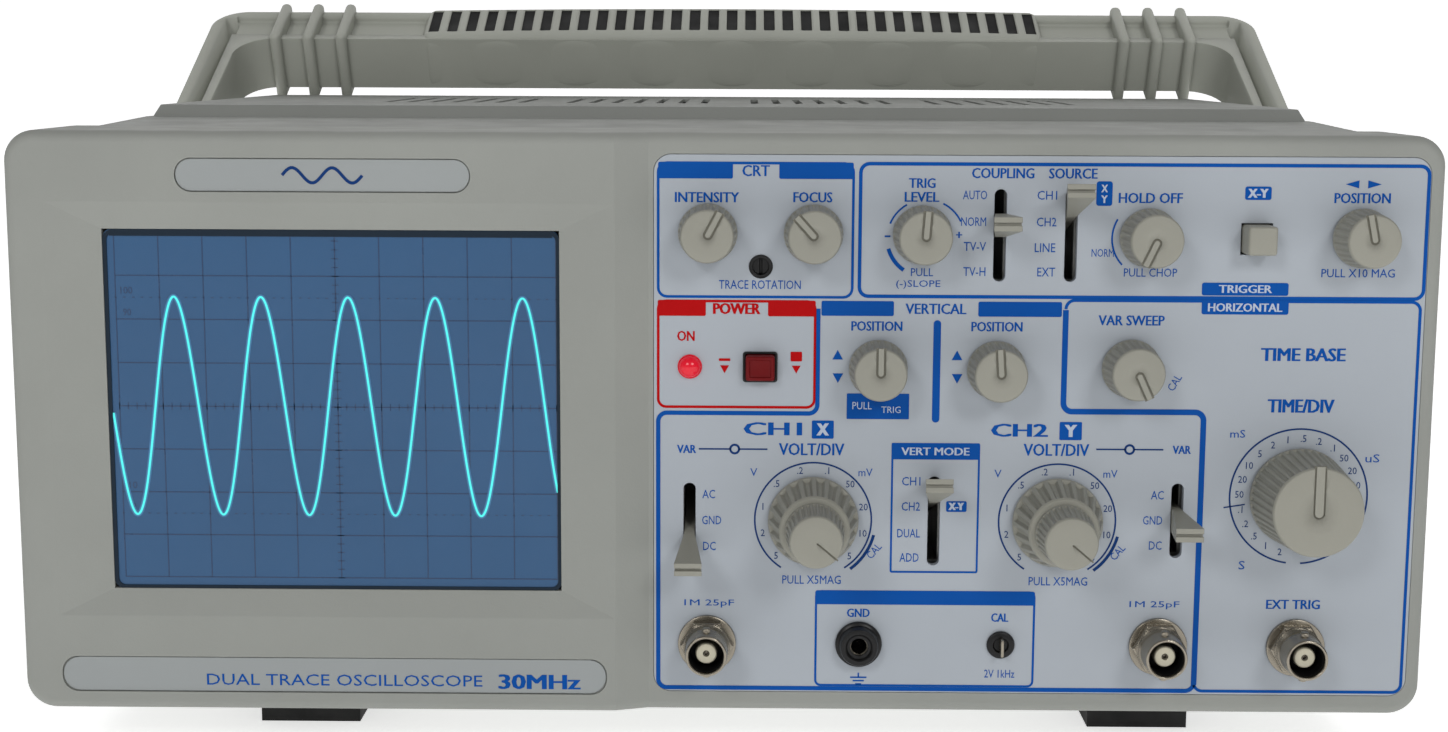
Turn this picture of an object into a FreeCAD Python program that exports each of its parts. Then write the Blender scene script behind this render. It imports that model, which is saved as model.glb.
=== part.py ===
import FreeCAD, Part

import math
import os
import re

import Sketcher

# Bench oscilloscope: a 30 MHz class dual-trace instrument with a cathode-ray tube on
# the left, a control panel on the right and a carrying handle that is also its stand.
# Frame: +Z up, the front faces -Y, +X is to the right as seen from the front.
# The origin is on the table, under the middle of the whole instrument.

V = FreeCAD.Vector
FORWARD = FreeCAD.Rotation(V(1, 0, 0), 90)
BACKWARD = FreeCAD.Rotation(V(1, 0, 0), -90)
SIDEWAYS = FreeCAD.Rotation(V(0, 1, 0), 90)
HALF_TURN = FreeCAD.Rotation(V(1, 0, 0), 180)

DIMENSIONS = {
    "face_y": (-176, "front plane of the control section"),
    "mid_up": (80, "height of the middle of the front above the table"),
    "bezel_half": (162, "half the width of the front moulding"),
    "bezel_rise": (67, "half the height of the front moulding"),
    "bezel_deep": (30, "depth of the front moulding"),
    "bezel_proud": (2.5, "how far the screen side stands in front of the panel side"),
    "bezel_wall": (2, "wall of the front moulding"),
    "bezel_corner": (7, "corner radius of the front moulding"),
    "bezel_edge": (2.5, "rounding of its front edge"),
    "web_back": (5.5, "from the front plane to the back of the front wall"),
    "step_left": (-24.5, "where the screen side starts to fall back"),
    "step_right": (-17, "where it has reached the panel side"),
    "screen_x": (-88.8, "middle of the screen"),
    "screen_up": (3.3, "middle of the screen above the middle of the front"),
    "recess_wide": (128.4, "width of the sloped screen surround"),
    "recess_tall": (95.6, "height of the sloped screen surround"),
    "window_wide": (103.4, "width of the screen window"),
    "window_tall": (83.2, "height of the screen window"),
    "lip_proud": (1, "window lip in front of the front plane"),
    "plate_left": (-15.8, "left edge of the printed panel"),
    "plate_right": (158.4, "right edge of the printed panel"),
    "plate_rise": (62.2, "half the height of the printed panel"),
    "plate_thick": (2, "thickness of the printed panel"),
    "plate_ledge": (4, "width of the ledge that carries the printed panel"),
    "plate_corner": (4, "corner radius of the printed panel and of its seat"),
    "badge_wide": (66.4, "width of the upper badge seat"),
    "badge_tall": (7.6, "height of the upper badge seat"),
    "badge_x": (-90, "middle of the upper badge seat"),
    "badge_up": (57.2, "upper badge seat above the middle of the front"),
    "strip_wide": (126.4, "width of the lower badge seat"),
    "strip_tall": (8.4, "height of the lower badge seat"),
    "strip_x": (-89.8, "middle of the lower badge seat"),
    "strip_up": (-58.4, "lower badge seat above the middle of the front"),
    "badge_sunk": (0.6, "depth of both badge seats"),
    "gap": (0.1, "clearance between pieces that only touch"),
    "cover_half": (159, "half the width of the steel cover"),
    "cover_top": (66, "top of the cover above the middle of the front"),
    "cover_low": (-61, "lower edge of the cover above the middle of the front"),
    "cover_corner": (7, "bend radius of the cover"),
    "sheet": (1, "thickness of the steel sheet"),
    "cover_back": (184, "rear edge of the cover"),
    "band_front": (-88, "front of the raised vent band"),
    "band_back": (60, "back of the raised vent band"),
    "band_half": (154.5, "half the width of the raised vent band"),
    "band_rise": (4.6, "height of the raised vent band above the cover"),
    "band_slope": (3, "run of its sloped edge"),
    "vent_wide": (2.2, "width of a vent slot"),
    "vent_long": (58, "length of a vent slot on the top"),
    "vent_pitch": (6.4, "spacing of vent slots"),
    "ramp_front": (-143, "where the cover starts to rise towards the band"),
    "ramp_half": (155, "half the width of the rising part"),
    "ramp_rise": (1.5, "how far it has risen at the band"),
    "side_vent_first": (70, "front edge of the first side slot"),
    "side_vent_low": (6, "lower end of the side slots above the middle of the front"),
    "side_vent_long": (46, "length of a vent slot on the side"),
    "rear_panel_back": (183.2, "outer face of the rear panel"),
    "rear_panel_thick": (2, "thickness of the rear panel"),
    "pan_half": (157.9, "half the width of the bottom pan"),
    "pan_low": (-66, "underside of the bottom pan above the middle of the front"),
    "pan_flange": (18, "height of the pan's side flanges"),
    "foot_wide": (24.5, "width of a foot"),
    "foot_deep": (16, "depth of a foot"),
    "foot_x": (102.4, "foot from the middle"),
    "front_foot_y": (-145.9, "front edge of the front feet"),
    "rear_foot_y": (150, "front edge of the rear feet"),
    "tube_wide": (111, "width of the tube face"),
    "tube_tall": (91, "height of the tube face"),
    "tube_face": (-168.4, "front of the tube face"),
    "tube_skirt": (18, "straight part behind the tube face"),
    "neck_front": (-40, "where the funnel meets the neck"),
    "neck_back": (78, "end of the neck"),
    "neck_radius": (25.5, "radius of the neck"),
    "filter_thick": (1.8, "thickness of the blue filter"),
    "filter_wide": (112, "width of the blue filter"),
    "filter_tall": (92, "height of the blue filter"),
    "shield_radius": (33, "inner radius of the magnetic shield on the neck"),
    "shield_mouth": (56, "inner radius of the shield at its mouth"),
    "shield_front": (-95, "front of the shield"),
    "pivot_back": (73, "handle pivot behind the front plane"),
    "handle_lean": (26.7, "angle of the folded handle above horizontal"),
    "arm_inner": (163.3, "inner side of the handle arms"),
    "arm_wide": (11, "width of a handle arm"),
    "arm_half": (9, "half the thickness of the handle"),
    "bar_near": (180.5, "near side of the cross bar from the pivot"),
    "bar_far": (200.5, "far side of the cross bar from the pivot"),
    "hub_radius": (23, "radius of the handle hub"),
    "hub_wide": (13, "width of the handle hub"),
    "hub_bore": (8, "radius of the bore of the hub"),
    "pin_radius": (7.95, "radius of the fixed pivot pin"),
    "groove_wide": (4.2, "width of the groove along an arm"),
    "groove_flange": (3.7, "outer flange beside the groove"),
    "groove_floor": (3.5, "floor under the groove"),
    "bar_rim": (3, "rim on each side of the groove along the bar"),
    "bar_groove": (2.5, "depth of the groove along the bar"),
    "collar_first": (129.3, "first collar from the middle"),
    "collar_pitch": (10.9, "spacing of the collars"),
    "collar_wide": (3.3, "width of a collar"),
    "collar_proud": (2.5, "how far a collar stands out"),
    "grip_half": (103, "half the length of the grip"),
    "grip_core": (6.5, "half the thickness of the bar inside the grip"),
    "grip_near": (10.6, "near side of the grip from the middle of the bar"),
    "grip_far": (12.4, "far side of the grip from the middle of the bar"),
    "grip_under": (10.2, "underside of the grip from the middle of the bar"),
    "grip_over": (11.2, "slotted side of the grip from the middle of the bar"),
    "grip_slot_pitch": (6.2, "spacing of the grip slots"),
    "grip_slot_wide": (3.6, "width of a grip slot"),
    "grip_slot_deep": (3.5, "depth of a grip slot"),
    "finger_pitch": (26, "spacing of the finger hollows"),
    "finger_radius": (46, "radius of a finger hollow"),
    "finger_deep": (1.6, "depth of a finger hollow"),
    "shaft_radius": (3, "radius of a control shaft"),
    "bore_radius": (3.05, "radius of a bore around a control shaft"),
    "bushing_radius": (4.4, "radius of a control bushing"),
    "shaft_back": (15.5, "end of a control shaft behind the front plane"),
    "knob_gap": (0.8, "gap between a knob and the panel"),
    "small_knob_long": (11.2, "front of a small knob from the panel"),
    "small_knob_base": (6.7, "base radius of a small knob"),
    "small_knob_face": (5.9, "face radius of a small knob"),
    "range_knob_long": (12, "front of a VOLTS/DIV knob from the panel"),
    "range_knob_base": (10.4, "base radius of a VOLTS/DIV knob"),
    "range_knob_face": (7.9, "face radius of a VOLTS/DIV knob"),
    "vernier_start": (12.5, "back of the inner knob from the panel"),
    "vernier_long": (23, "front of the inner knob from the panel"),
    "sweep_knob_long": (18, "front of the TIME/DIV knob from the panel"),
    "sweep_knob_base": (11.4, "base radius of the TIME/DIV knob"),
    "sweep_knob_face": (10.1, "face radius of the TIME/DIV knob"),
    "tube_shaft_radius": (4.5, "radius of a hollow outer shaft"),
    "tube_bore_radius": (4.55, "bore around a hollow outer shaft"),
    "wide_bushing_radius": (6, "radius of a rotary switch bushing"),
    "mark_wide": (1.3, "width of the pointer groove"),
    "mark_deep": (0.5, "depth of the pointer groove"),
    "lever_pivot": (25, "pivot of a lever behind the front plane"),
    "lever_long": (15, "front of a lever from the panel"),
    "lever_wide": (6.2, "width of a lever at its front"),
    "lever_thin": (3.1, "height of a lever at its front"),
    "lever_groove": (0.7, "width and depth of the groove across a lever's front"),
    "lever_hub": (3, "radius of the hub a lever turns on"),
    "lever_bore": (1.25, "bore of the hub"),
    "lever_pin": (1.2, "radius of the fixed pin in the hub"),
    "stem_wide": (2.4, "width of a lever where it passes the panel"),
    "stem_tall": (5.2, "height of a lever where it passes the panel"),
    "slot_wide": (2.8, "width of a panel slot"),
    "long_slot": (20.8, "length of a four-way slot"),
    "short_slot": (17.4, "length of a three-way slot"),
    "button_wide": (6.7, "width of the power button"),
    "button_tall": (5.8, "height of the power button"),
    "button_long": (3.4, "front of the power button from the panel, latched in"),
    "key_wide": (6.5, "width of the small key"),
    "key_long": (6.5, "front of the small key from the panel"),
    "barrel_radius": (4.8, "radius of a coaxial connector barrel"),
    "barrel_bore": (4.05, "bore of a coaxial connector barrel"),
    "barrel_long": (11.5, "front of a coaxial connector from the panel"),
    "barrel_nut": (6.2, "radius over the corners of a connector nut"),
    "barrel_washer": (6.7, "radius of the washer under the nut"),
    "jack_radius": (5.4, "radius of the ground jack collar"),
    "jack_bore": (2.05, "radius of the ground jack bore"),
    "jack_long": (4, "front of the ground jack from the panel"),
    "led_radius": (2.5, "radius of the power lamp"),
    "board_thick": (1.6, "thickness of a circuit board"),
    "pot_radius": (8.5, "radius of a potentiometer's can"),
    "pot_back": (18, "back of a potentiometer behind the front plane"),
    "bushing_back": (7, "back of a control bushing behind the front plane"),
    "rotary_radius": (12.5, "radius of a rotary switch"),
    "rotary_back": (28, "back of a rotary switch behind the front plane"),
    "slide_half_wide": (4, "half the width of a lever switch"),
    "slide_half_tall": (14, "half the height of a lever switch"),
    "slide_back": (29.5, "back of a lever switch behind the front plane"),
    "push_half_wide": (7, "half the width of a push switch"),
    "push_half_tall": (7.5, "half the height of a push switch"),
    "push_front": (17, "front of a push switch behind the front plane"),
    "mains_switch_back": (75, "back of the mains switch behind the front plane"),
    "key_switch_back": (29, "back of the small key's switch behind the front plane"),
    "push_rod": (1.5, "half the thickness of a push switch's rod"),
    "deck_up": (-52, "underside of the main board above the middle of the front"),
    "deck_left": (-18, "left edge of the main board"),
    "deck_right": (150, "right edge of the main board"),
    "deck_front": (-140, "front edge of the main board"),
    "deck_back": (90, "back edge of the main board"),
    "package_pitch_x": (36, "spacing of the packages across the main board"),
    "package_pitch_y": (44, "spacing of the packages along the main board"),
    "upright_back": (31, "front of the upright board behind the front plane"),
    "supply_left": (-80, "left edge of the supply board"),
    "supply_right": (70, "right edge of the supply board"),
    "supply_front": (112, "front edge of the supply board"),
    "supply_rear": (172, "back edge of the supply board"),
    "supply_pitch": (24, "spacing of the supply capacitors"),
    "sink_tall": (42, "height of the heat sink"),
    "fin_pitch": (8, "spacing of the heat sink's fins"),
    "core_middle": (111, "middle of the transformer"),
    "core_half": (33, "half the width of the transformer core"),
    "core_front": (118, "front of the transformer core"),
    "core_rear": (160, "back of the transformer core"),
    "core_tall": (56, "height of the transformer core"),
    "core_leg": (11, "thickness of the core around its windows"),
    "converter_left": (-144, "left side of the high-voltage module"),
    "converter_right": (-98, "right side of the high-voltage module"),
    "converter_front": (-20, "front of the high-voltage module"),
    "converter_rear": (70, "back of the high-voltage module"),
    "converter_tall": (24, "height of the high-voltage module under its lid"),
    "divider_x": (-21, "middle of the upright divider"),
    "divider_back": (100, "back edge of the upright divider"),
    "rail_tall": (40, "height of a bottom rail"),
    "outlet_first": (60, "first coaxial outlet on the rear panel"),
    "outlet_pitch": (30, "spacing of the coaxial outlets"),
    "outlet_up": (40, "coaxial outlets above the middle of the front"),
    "inlet_x": (-106, "middle of the mains inlet"),
    "inlet_half": (18, "half the width of the inlet's flange"),
    "inlet_low": (-52, "lower edge of the inlet above the middle of the front"),
    "inlet_high": (-14, "upper edge of the inlet above the middle of the front"),
    "wrap_x": (138, "standoff from the middle"),
    "wrap_up": (46, "standoff above and below the middle of the front"),
    "wrap_stem": (7, "radius of a standoff"),
    "wrap_head": (11, "radius of a standoff's head"),
    "wrap_back": (199, "rear end of the standoffs"),
    "screw_radius": (1.5, "radius of a case screw"),
    "screw_head": (3, "head radius of a case screw"),
}

# Middle of each front-panel control: across, and up from the middle of the front.
SPOTS = {
    "intensity": (-3.6, 44.6),
    "focus": (20.2, 44.5),
    "rotation": (8.4, 37),
    "trig_level": (44.7, 44.4),
    "coupling": (62.2, 44.3),
    "source": (78.2, 44.3),
    "hold_off": (95.6, 44),
    "xy_key": (119.9, 43.8),
    "h_position": (143.3, 44.2),
    "lamp": (-7.6, 14.1),
    "power": (8.4, 14.1),
    "v_position_1": (35.2, 13.9),
    "v_position_2": (62, 13.8),
    "var_sweep": (92.5, 14.3),
    "volts_div_1": (20.8, -21.5),
    "volts_div_2": (76.8, -21.5),
    "time_div": (131.8, -15.2),
    "input_1": (-7.6, -21.6),
    "input_2": (104.2, -21.1),
    "vert_mode": (48.5, -21.5),
    "bnc_1": (-3.5, -50.7),
    "bnc_2": (100.8, -50.7),
    "bnc_ext": (132.5, -50.7),
    "ground": (31.6, -50.6),
    "cal": (64.5, -50.6),
}

# Rest angle of each pointer, degrees clockwise from straight up.
POINTER_ANGLES = {
    "intensity": 28,
    "focus": -42,
    "trig_level": 4,
    "hold_off": -155,
    "h_position": -12,
    "v_position_1": 0,
    "v_position_2": -4,
    "var_sweep": 155,
    "volts_div_1": 45,
    "volts_div_2": 45,
    "vernier_1": 130,
    "vernier_2": 130,
    "time_div": 0,
}

# Rest angle of each lever, degrees above horizontal.
LEVER_TILTS = {
    "coupling": 5.3,
    "source": 15.9,
    "input_1": -12,
    "input_2": 0,
    "vert_mode": 15.9,
}

PLAIN_POTS = ("intensity", "focus", "var_sweep")
PULL_POTS = ("trig_level", "hold_off", "h_position", "v_position_1", "v_position_2")
COAXIAL_SWITCHES = ("volts_div_1", "volts_div_2")
LONG_SLOTS = ("coupling", "source", "vert_mode")
SHORT_SLOTS = ("input_1", "input_2")
COAXIAL_PLUGS = ("bnc_1", "bnc_2", "bnc_ext")

doc = FreeCAD.newDocument("bench_oscilloscope")
sheet = doc.addObject("Spreadsheet::Sheet", "Dims")
aliases = []
nodes = []


# ---------------------------------------------------------------- spreadsheet

def store(alias, value, meaning):
    """Write one named value in the next row of the sheet."""
    aliases.append(alias)
    row = len(aliases)
    sheet.set(f"A{row}", alias)
    sheet.set(f"B{row}", str(value))
    sheet.set(f"C{row}", meaning)
    sheet.setAlias(f"B{row}", alias)


def fill_sheet():
    """Put every driving dimension in the sheet."""
    for alias, (value, meaning) in DIMENSIONS.items():
        store(alias, value, meaning)
    for spot, (across, up) in SPOTS.items():
        store(f"{spot}_x", across, f"{spot}: across the panel")
        store(f"{spot}_up", up, f"{spot}: above the middle of the front")
    for spot, angle in POINTER_ANGLES.items():
        store(f"{spot}_turn", angle, f"{spot}: pointer at rest, degrees clockwise")
    for spot, tilt in LEVER_TILTS.items():
        store(f"{spot}_tilt", tilt, f"{spot}: lever at rest, degrees above horizontal")
    doc.recompute()


def formula(text):
    """Turn bare dimension names in an expression into references to the sheet."""
    def link(match):
        word = match.group()
        return f"Dims.{word}" if word in aliases else word
    return re.sub(r"[a-z_][a-z0-9_]*", link, str(text))


def bind(thing, prop, text):
    thing.setExpression(prop, formula(text))


def bind_place(thing, x, y, z, rotation=None):
    """Set a rotation and bind the three coordinates of a placement."""
    if rotation is not None:
        thing.Placement = FreeCAD.Placement(V(0, 0, 0), rotation)
    bind(thing, "Placement.Base.x", x)
    bind(thing, "Placement.Base.y", y)
    bind(thing, "Placement.Base.z", z)


# ----------------------------------------------------------- Part primitives

def block(x, y, z):
    """A box from three (low, high) pairs."""
    box = doc.addObject("Part::Box", "block")
    for prop, (low, high) in (("Length", x), ("Width", y), ("Height", z)):
        bind(box, prop, f"({high}) - ({low})")
    bind_place(box, x[0], y[0], z[0])
    return box


def rod(x, y, z, radius):
    """A cylinder along the axis whose place is given as a (low, high) pair."""
    cylinder = doc.addObject("Part::Cylinder", "rod")
    start = [x, y, z]
    for index, turn in enumerate((SIDEWAYS, BACKWARD, FreeCAD.Rotation())):
        if isinstance(start[index], tuple):
            low, high = start[index]
            rotation = turn
            start[index] = low
    bind(cylinder, "Radius", radius)
    bind(cylinder, "Height", f"({high}) - ({low})")
    bind_place(cylinder, start[0], start[1], start[2], rotation)
    return cylinder


def taper(x, y, z, base, tip):
    """A cone along Y, from y[0] with the base radius to y[1] with the tip radius."""
    cone = doc.addObject("Part::Cone", "taper")
    bind(cone, "Radius1", base)
    bind(cone, "Radius2", tip)
    bind(cone, "Height", f"({y[1]}) - ({y[0]})")
    bind_place(cone, x, y[0], z, BACKWARD)
    return cone


def nose(base_y, tip_y, base, tip):
    """A cone on the Y axis that points forward, from base_y to tip_y in front of it."""
    cone = doc.addObject("Part::Cone", "nose")
    bind(cone, "Radius1", base)
    bind(cone, "Radius2", tip)
    bind(cone, "Height", f"({tip_y}) - ({base_y})")
    bind_place(cone, "0", f"-({base_y})", "0", FORWARD)
    return cone


def join(*pieces):
    if len(pieces) == 1:
        return pieces[0]
    fuse = doc.addObject("Part::MultiFuse", "join")
    fuse.Shapes = list(pieces)
    return fuse


def remove(base, *tools):
    cut = doc.addObject("Part::Cut", "remove")
    cut.Base = base
    cut.Tool = join(*tools)
    return cut


def group(*pieces):
    """Several separate solids that share one node."""
    compound = doc.addObject("Part::Compound", "group")
    compound.Links = list(pieces)
    return compound


def keep(label, thing):
    """Make an object a sub-part of the instrument."""
    thing.Label = label
    nodes.append(thing)
    return thing


# --------------------------------------------------------- PartDesign helpers

def start_body(label):
    body = doc.addObject("PartDesign::Body", label)
    keep(label, body)
    return body


def draw_on(body, role, offset):
    """A sketch on one of the body's origin planes, moved along the plane's normal."""
    plane = [item for item in body.Origin.OriginFeatures if item.Role == role][0]
    sketch = body.newObject("Sketcher::SketchObject", f"{body.Name}_sketch")
    sketch.AttachmentSupport = (plane, [""])
    sketch.MapMode = "FlatFace"
    bind(sketch, "AttachmentOffset.Base.z", offset)
    return sketch


def constrain(sketch, kind, geometry, end, value, start=5.0):
    """Bind a horizontal or vertical distance from the sketch's origin.

    The start is the distance that the sketch is first solved with.
    """
    index = sketch.addConstraint(Sketcher.Constraint(kind, -1, 1, geometry, end, start))
    sketch.setExpression(f"Constraints[{index}]", formula(value))


def rectangle(sketch, across, up):
    """A rectangle between two (low, high) pairs."""
    first = sketch.GeometryCount
    corners = [V(5, 5, 0), V(9, 5, 0), V(9, 9, 0), V(5, 9, 0)]
    for index in range(4):
        sketch.addGeometry(Part.LineSegment(corners[index], corners[(index + 1) % 4]), False)
    for index in range(4):
        follower = first + (index + 1) % 4
        sketch.addConstraint(Sketcher.Constraint("Coincident", first + index, 2, follower, 1))
        kind = ("Horizontal", "Vertical")[index % 2]
        sketch.addConstraint(Sketcher.Constraint(kind, first + index))
    constrain(sketch, "DistanceX", first, 1, across[0])
    constrain(sketch, "DistanceY", first, 1, up[0])
    constrain(sketch, "DistanceX", first + 2, 1, across[1])
    constrain(sketch, "DistanceY", first + 2, 1, up[1])


def soft_rectangle(sketch, across, up, radius):
    """A rectangle between two (low, high) pairs with four rounded corners."""
    first = sketch.GeometryCount
    left, right, low, high, corner = (
        float(sketch.evalExpression(formula(text))) for text in (*across, *up, radius))
    centres = (V(right - corner, low + corner, 0), V(right - corner, high - corner, 0),
               V(left + corner, high - corner, 0), V(left + corner, low + corner, 0))
    for index, centre in enumerate(centres):
        turn = (index - 1) * math.pi / 2
        out = V(math.cos(turn), math.sin(turn), 0) * corner
        before = centres[index - 1]
        sketch.addGeometry(Part.LineSegment(before + out, centre + out), False)
        round_off = Part.Circle(centre, V(0, 0, 1), corner)
        sketch.addGeometry(Part.ArcOfCircle(round_off, turn, turn + math.pi / 2), False)
    for index in range(4):
        line = first + 2 * index
        follower = first + (2 * index + 2) % 8
        sketch.addConstraint(Sketcher.Constraint("Tangent", line, 2, line + 1, 1))
        sketch.addConstraint(Sketcher.Constraint("Tangent", line + 1, 2, follower, 1))
        kind = ("Horizontal", "Vertical")[index % 2]
        sketch.addConstraint(Sketcher.Constraint(kind, line))
        if index:
            sketch.addConstraint(Sketcher.Constraint("Equal", first + 1, line + 1))
    constrain(sketch, "DistanceY", first, 1, up[0], low)
    constrain(sketch, "DistanceX", first + 2, 1, across[1], right)
    constrain(sketch, "DistanceY", first + 4, 1, up[1], high)
    constrain(sketch, "DistanceX", first + 6, 1, across[0], left)
    index = sketch.addConstraint(Sketcher.Constraint("Radius", first + 1, corner))
    sketch.setExpression(f"Constraints[{index}]", formula(radius))


def circle(sketch, across, up, radius):
    first = sketch.addGeometry(Part.Circle(V(5, 5, 0), V(0, 0, 1), 2), False)
    constrain(sketch, "DistanceX", first, 3, across)
    constrain(sketch, "DistanceY", first, 3, up)
    index = sketch.addConstraint(Sketcher.Constraint("Radius", first, 2.0))
    sketch.setExpression(f"Constraints[{index}]", formula(radius))


def outline(sketch, points):
    """A closed outline of straight runs through (across, up) points."""
    first = sketch.GeometryCount
    count = len(points)
    for index in range(count):
        start = V(5 + index, 5 + index * index, 0)
        follower = (index + 1) % count
        end = V(5 + follower, 5 + follower * follower, 0)
        sketch.addGeometry(Part.LineSegment(start, end), False)
    for index, (across, up) in enumerate(points):
        follower = first + (index + 1) % count
        sketch.addConstraint(Sketcher.Constraint("Coincident", first + index, 2, follower, 1))
        constrain(sketch, "DistanceX", first + index, 1, across)
        constrain(sketch, "DistanceY", first + index, 1, up)


def pad(body, sketch, length, reverse=False):
    feature = body.newObject("PartDesign::Pad", f"{body.Name}_pad")
    feature.Profile = sketch
    feature.Reversed = reverse
    bind(feature, "Length", length)
    doc.recompute()
    return feature


def pocket(body, sketch, length, reverse=False):
    """A pocket that must take material away."""
    before = body.Shape.Volume
    feature = body.newObject("PartDesign::Pocket", f"{body.Name}_pocket")
    feature.Profile = sketch
    feature.Reversed = reverse
    bind(feature, "Length", length)
    doc.recompute()
    if not body.Shape.Volume < before:
        raise RuntimeError(f"{body.Label}: a pocket cuts nothing")
    return feature


def round_edges(body, base, chosen, radius):
    """Fillet the edges of a feature that the chosen test accepts."""
    names = [f"Edge{index}" for index, edge in enumerate(base.Shape.Edges, 1) if chosen(edge)]
    fillet = body.newObject("PartDesign::Fillet", f"{body.Name}_round")
    fillet.Base = (base, names)
    bind(fillet, "Radius", radius)
    doc.recompute()
    return fillet


def runs_along(edge, axis):
    """True for a straight edge along X (0), Y (1) or Z (2)."""
    if not isinstance(edge.Curve, (Part.Line, Part.LineSegment)):
        return False
    return abs(abs(edge.tangentAt(edge.FirstParameter)[axis]) - 1) < 1e-6


def size_of(alias):
    return sheet.get(alias)


# ------------------------------------------------------------- front of case

def across_of(spot, shift="0"):
    return f"{spot}_x + {shift}"


def up_of(spot, shift="0"):
    return f"mid_up + {spot}_up + {shift}"


def slot_rectangle(sketch, spot, wide, tall):
    rectangle(
        sketch,
        (f"{spot}_x - ({wide}) / 2", f"{spot}_x + ({wide}) / 2"),
        (f"mid_up + {spot}_up - ({tall}) / 2", f"mid_up + {spot}_up + ({tall}) / 2"),
    )


def control_openings(sketch, play):
    """Everything that passes through the panel and the chassis plate behind it."""
    for spot in PLAIN_POTS + PULL_POTS + ("time_div",):
        circle(sketch, across_of(spot), up_of(spot), f"bushing_radius + {play}")
    for spot in COAXIAL_SWITCHES:
        circle(sketch, across_of(spot), up_of(spot), f"wide_bushing_radius + {play}")
    for spot in COAXIAL_PLUGS:
        circle(sketch, across_of(spot), up_of(spot), f"barrel_radius + {play}")
    circle(sketch, across_of("ground"), up_of("ground"), f"4 + {play}")
    circle(sketch, across_of("cal"), up_of("cal"), f"2.4 + {play}")
    circle(sketch, across_of("lamp"), up_of("lamp"), f"led_radius + {play}")
    circle(sketch, across_of("rotation"), up_of("rotation"), f"2.3 + {play}")
    for spot in LONG_SLOTS:
        slot_rectangle(sketch, spot, "slot_wide", "long_slot")
    for spot in SHORT_SLOTS:
        slot_rectangle(sketch, spot, "slot_wide", "short_slot")
    slot_rectangle(sketch, "power", "button_wide + 0.6", "button_tall + 0.6")
    slot_rectangle(sketch, "xy_key", "key_wide + 0.6", "key_wide + 0.6")


def make_front_bezel():
    """Moulded front frame: a proud screen side, a sloped surround and a panel seat."""
    body = start_body("front_bezel")
    plan = draw_on(body, "XY_Plane", "mid_up - bezel_rise")
    back = "face_y + bezel_deep"
    outline(plan, (
        ("-bezel_half", back),
        ("-bezel_half", "face_y - bezel_proud"),
        ("step_left", "face_y - bezel_proud"),
        ("step_right", "face_y"),
        ("bezel_half", "face_y"),
        ("bezel_half", back),
    ))
    shell = pad(body, plan, "2 * bezel_rise")
    half = size_of("bezel_half")
    shell = round_edges(
        body, shell,
        lambda edge: runs_along(edge, 1) and abs(abs(edge.CenterOfMass.x) - half) < 0.1,
        "bezel_corner")
    front_limit = size_of("face_y") + 0.2
    rise = size_of("bezel_rise")
    middle = size_of("mid_up")

    def on_front_rim(edge):
        centre = edge.CenterOfMass
        if centre.y > front_limit:
            return False
        at_side = abs(abs(centre.x) - half) < 4
        at_end = abs(abs(centre.z - middle) - rise) < 4
        return at_side or at_end

    round_edges(body, shell, on_front_rim, "bezel_edge")

    cavity = draw_on(body, "XZ_Plane", "-(face_y + bezel_deep)")
    inside = "bezel_half - bezel_wall"
    rise_in = "bezel_rise - bezel_wall"
    rectangle(cavity, (f"-({inside})", inside), (f"mid_up - ({rise_in})", f"mid_up + {rise_in}"))
    pocket(body, cavity, "bezel_deep - web_back", reverse=True)

    surround = draw_on(body, "XZ_Plane", "-(face_y - bezel_proud)")
    rectangle(
        surround,
        ("screen_x - recess_wide / 2", "screen_x + recess_wide / 2"),
        ("mid_up + screen_up - recess_tall / 2", "mid_up + screen_up + recess_tall / 2"))
    lip = draw_on(body, "XZ_Plane", "-(face_y - lip_proud)")
    screen_window(lip, "0")
    loft = body.newObject("PartDesign::SubtractiveLoft", "screen_surround")
    loft.Profile = surround
    loft.Sections = [lip]
    loft.Ruled = True
    doc.recompute()

    window = draw_on(body, "XZ_Plane", "-(face_y + web_back)")
    screen_window(window, "0")
    pocket(body, window, "web_back + lip_proud", reverse=True)

    seat = draw_on(body, "XZ_Plane", "-face_y")
    panel_outline(seat, "gap")
    pocket(body, seat, "plate_thick")
    opening = draw_on(body, "XZ_Plane", "-face_y")
    panel_outline(opening, "-plate_ledge")
    pocket(body, opening, "web_back + 1")

    badges = draw_on(body, "XZ_Plane", "-(face_y - bezel_proud)")
    for badge in ("badge", "strip"):
        rectangle(
            badges,
            (f"{badge}_x - {badge}_wide / 2", f"{badge}_x + {badge}_wide / 2"),
            (f"mid_up + {badge}_up - {badge}_tall / 2", f"mid_up + {badge}_up + {badge}_tall / 2"))
    sunk = pocket(body, badges, "badge_sunk")
    seat_front = size_of("face_y") - size_of("bezel_proud")
    badge_spots = [(size_of(f"{badge}_x"), middle + size_of(f"{badge}_up"),
                    size_of(f"{badge}_wide") / 2, size_of(f"{badge}_tall") / 2)
                   for badge in ("badge", "strip")]

    def at_badge_corner(edge):
        centre = edge.CenterOfMass
        if not runs_along(edge, 1) or centre.y > seat_front + 1:
            return False
        return any(abs(abs(centre.x - x) - wide) < 0.1 and abs(abs(centre.z - z) - tall) < 0.1
                   for x, z, wide, tall in badge_spots)

    round_edges(body, sunk, at_badge_corner, "badge_tall / 2 - 0.1")


def screen_window(sketch, play):
    rectangle(
        sketch,
        (f"screen_x - window_wide / 2 - {play}", f"screen_x + window_wide / 2 + {play}"),
        (f"mid_up + screen_up - window_tall / 2 - {play}",
         f"mid_up + screen_up + window_tall / 2 + {play}"))


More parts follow.
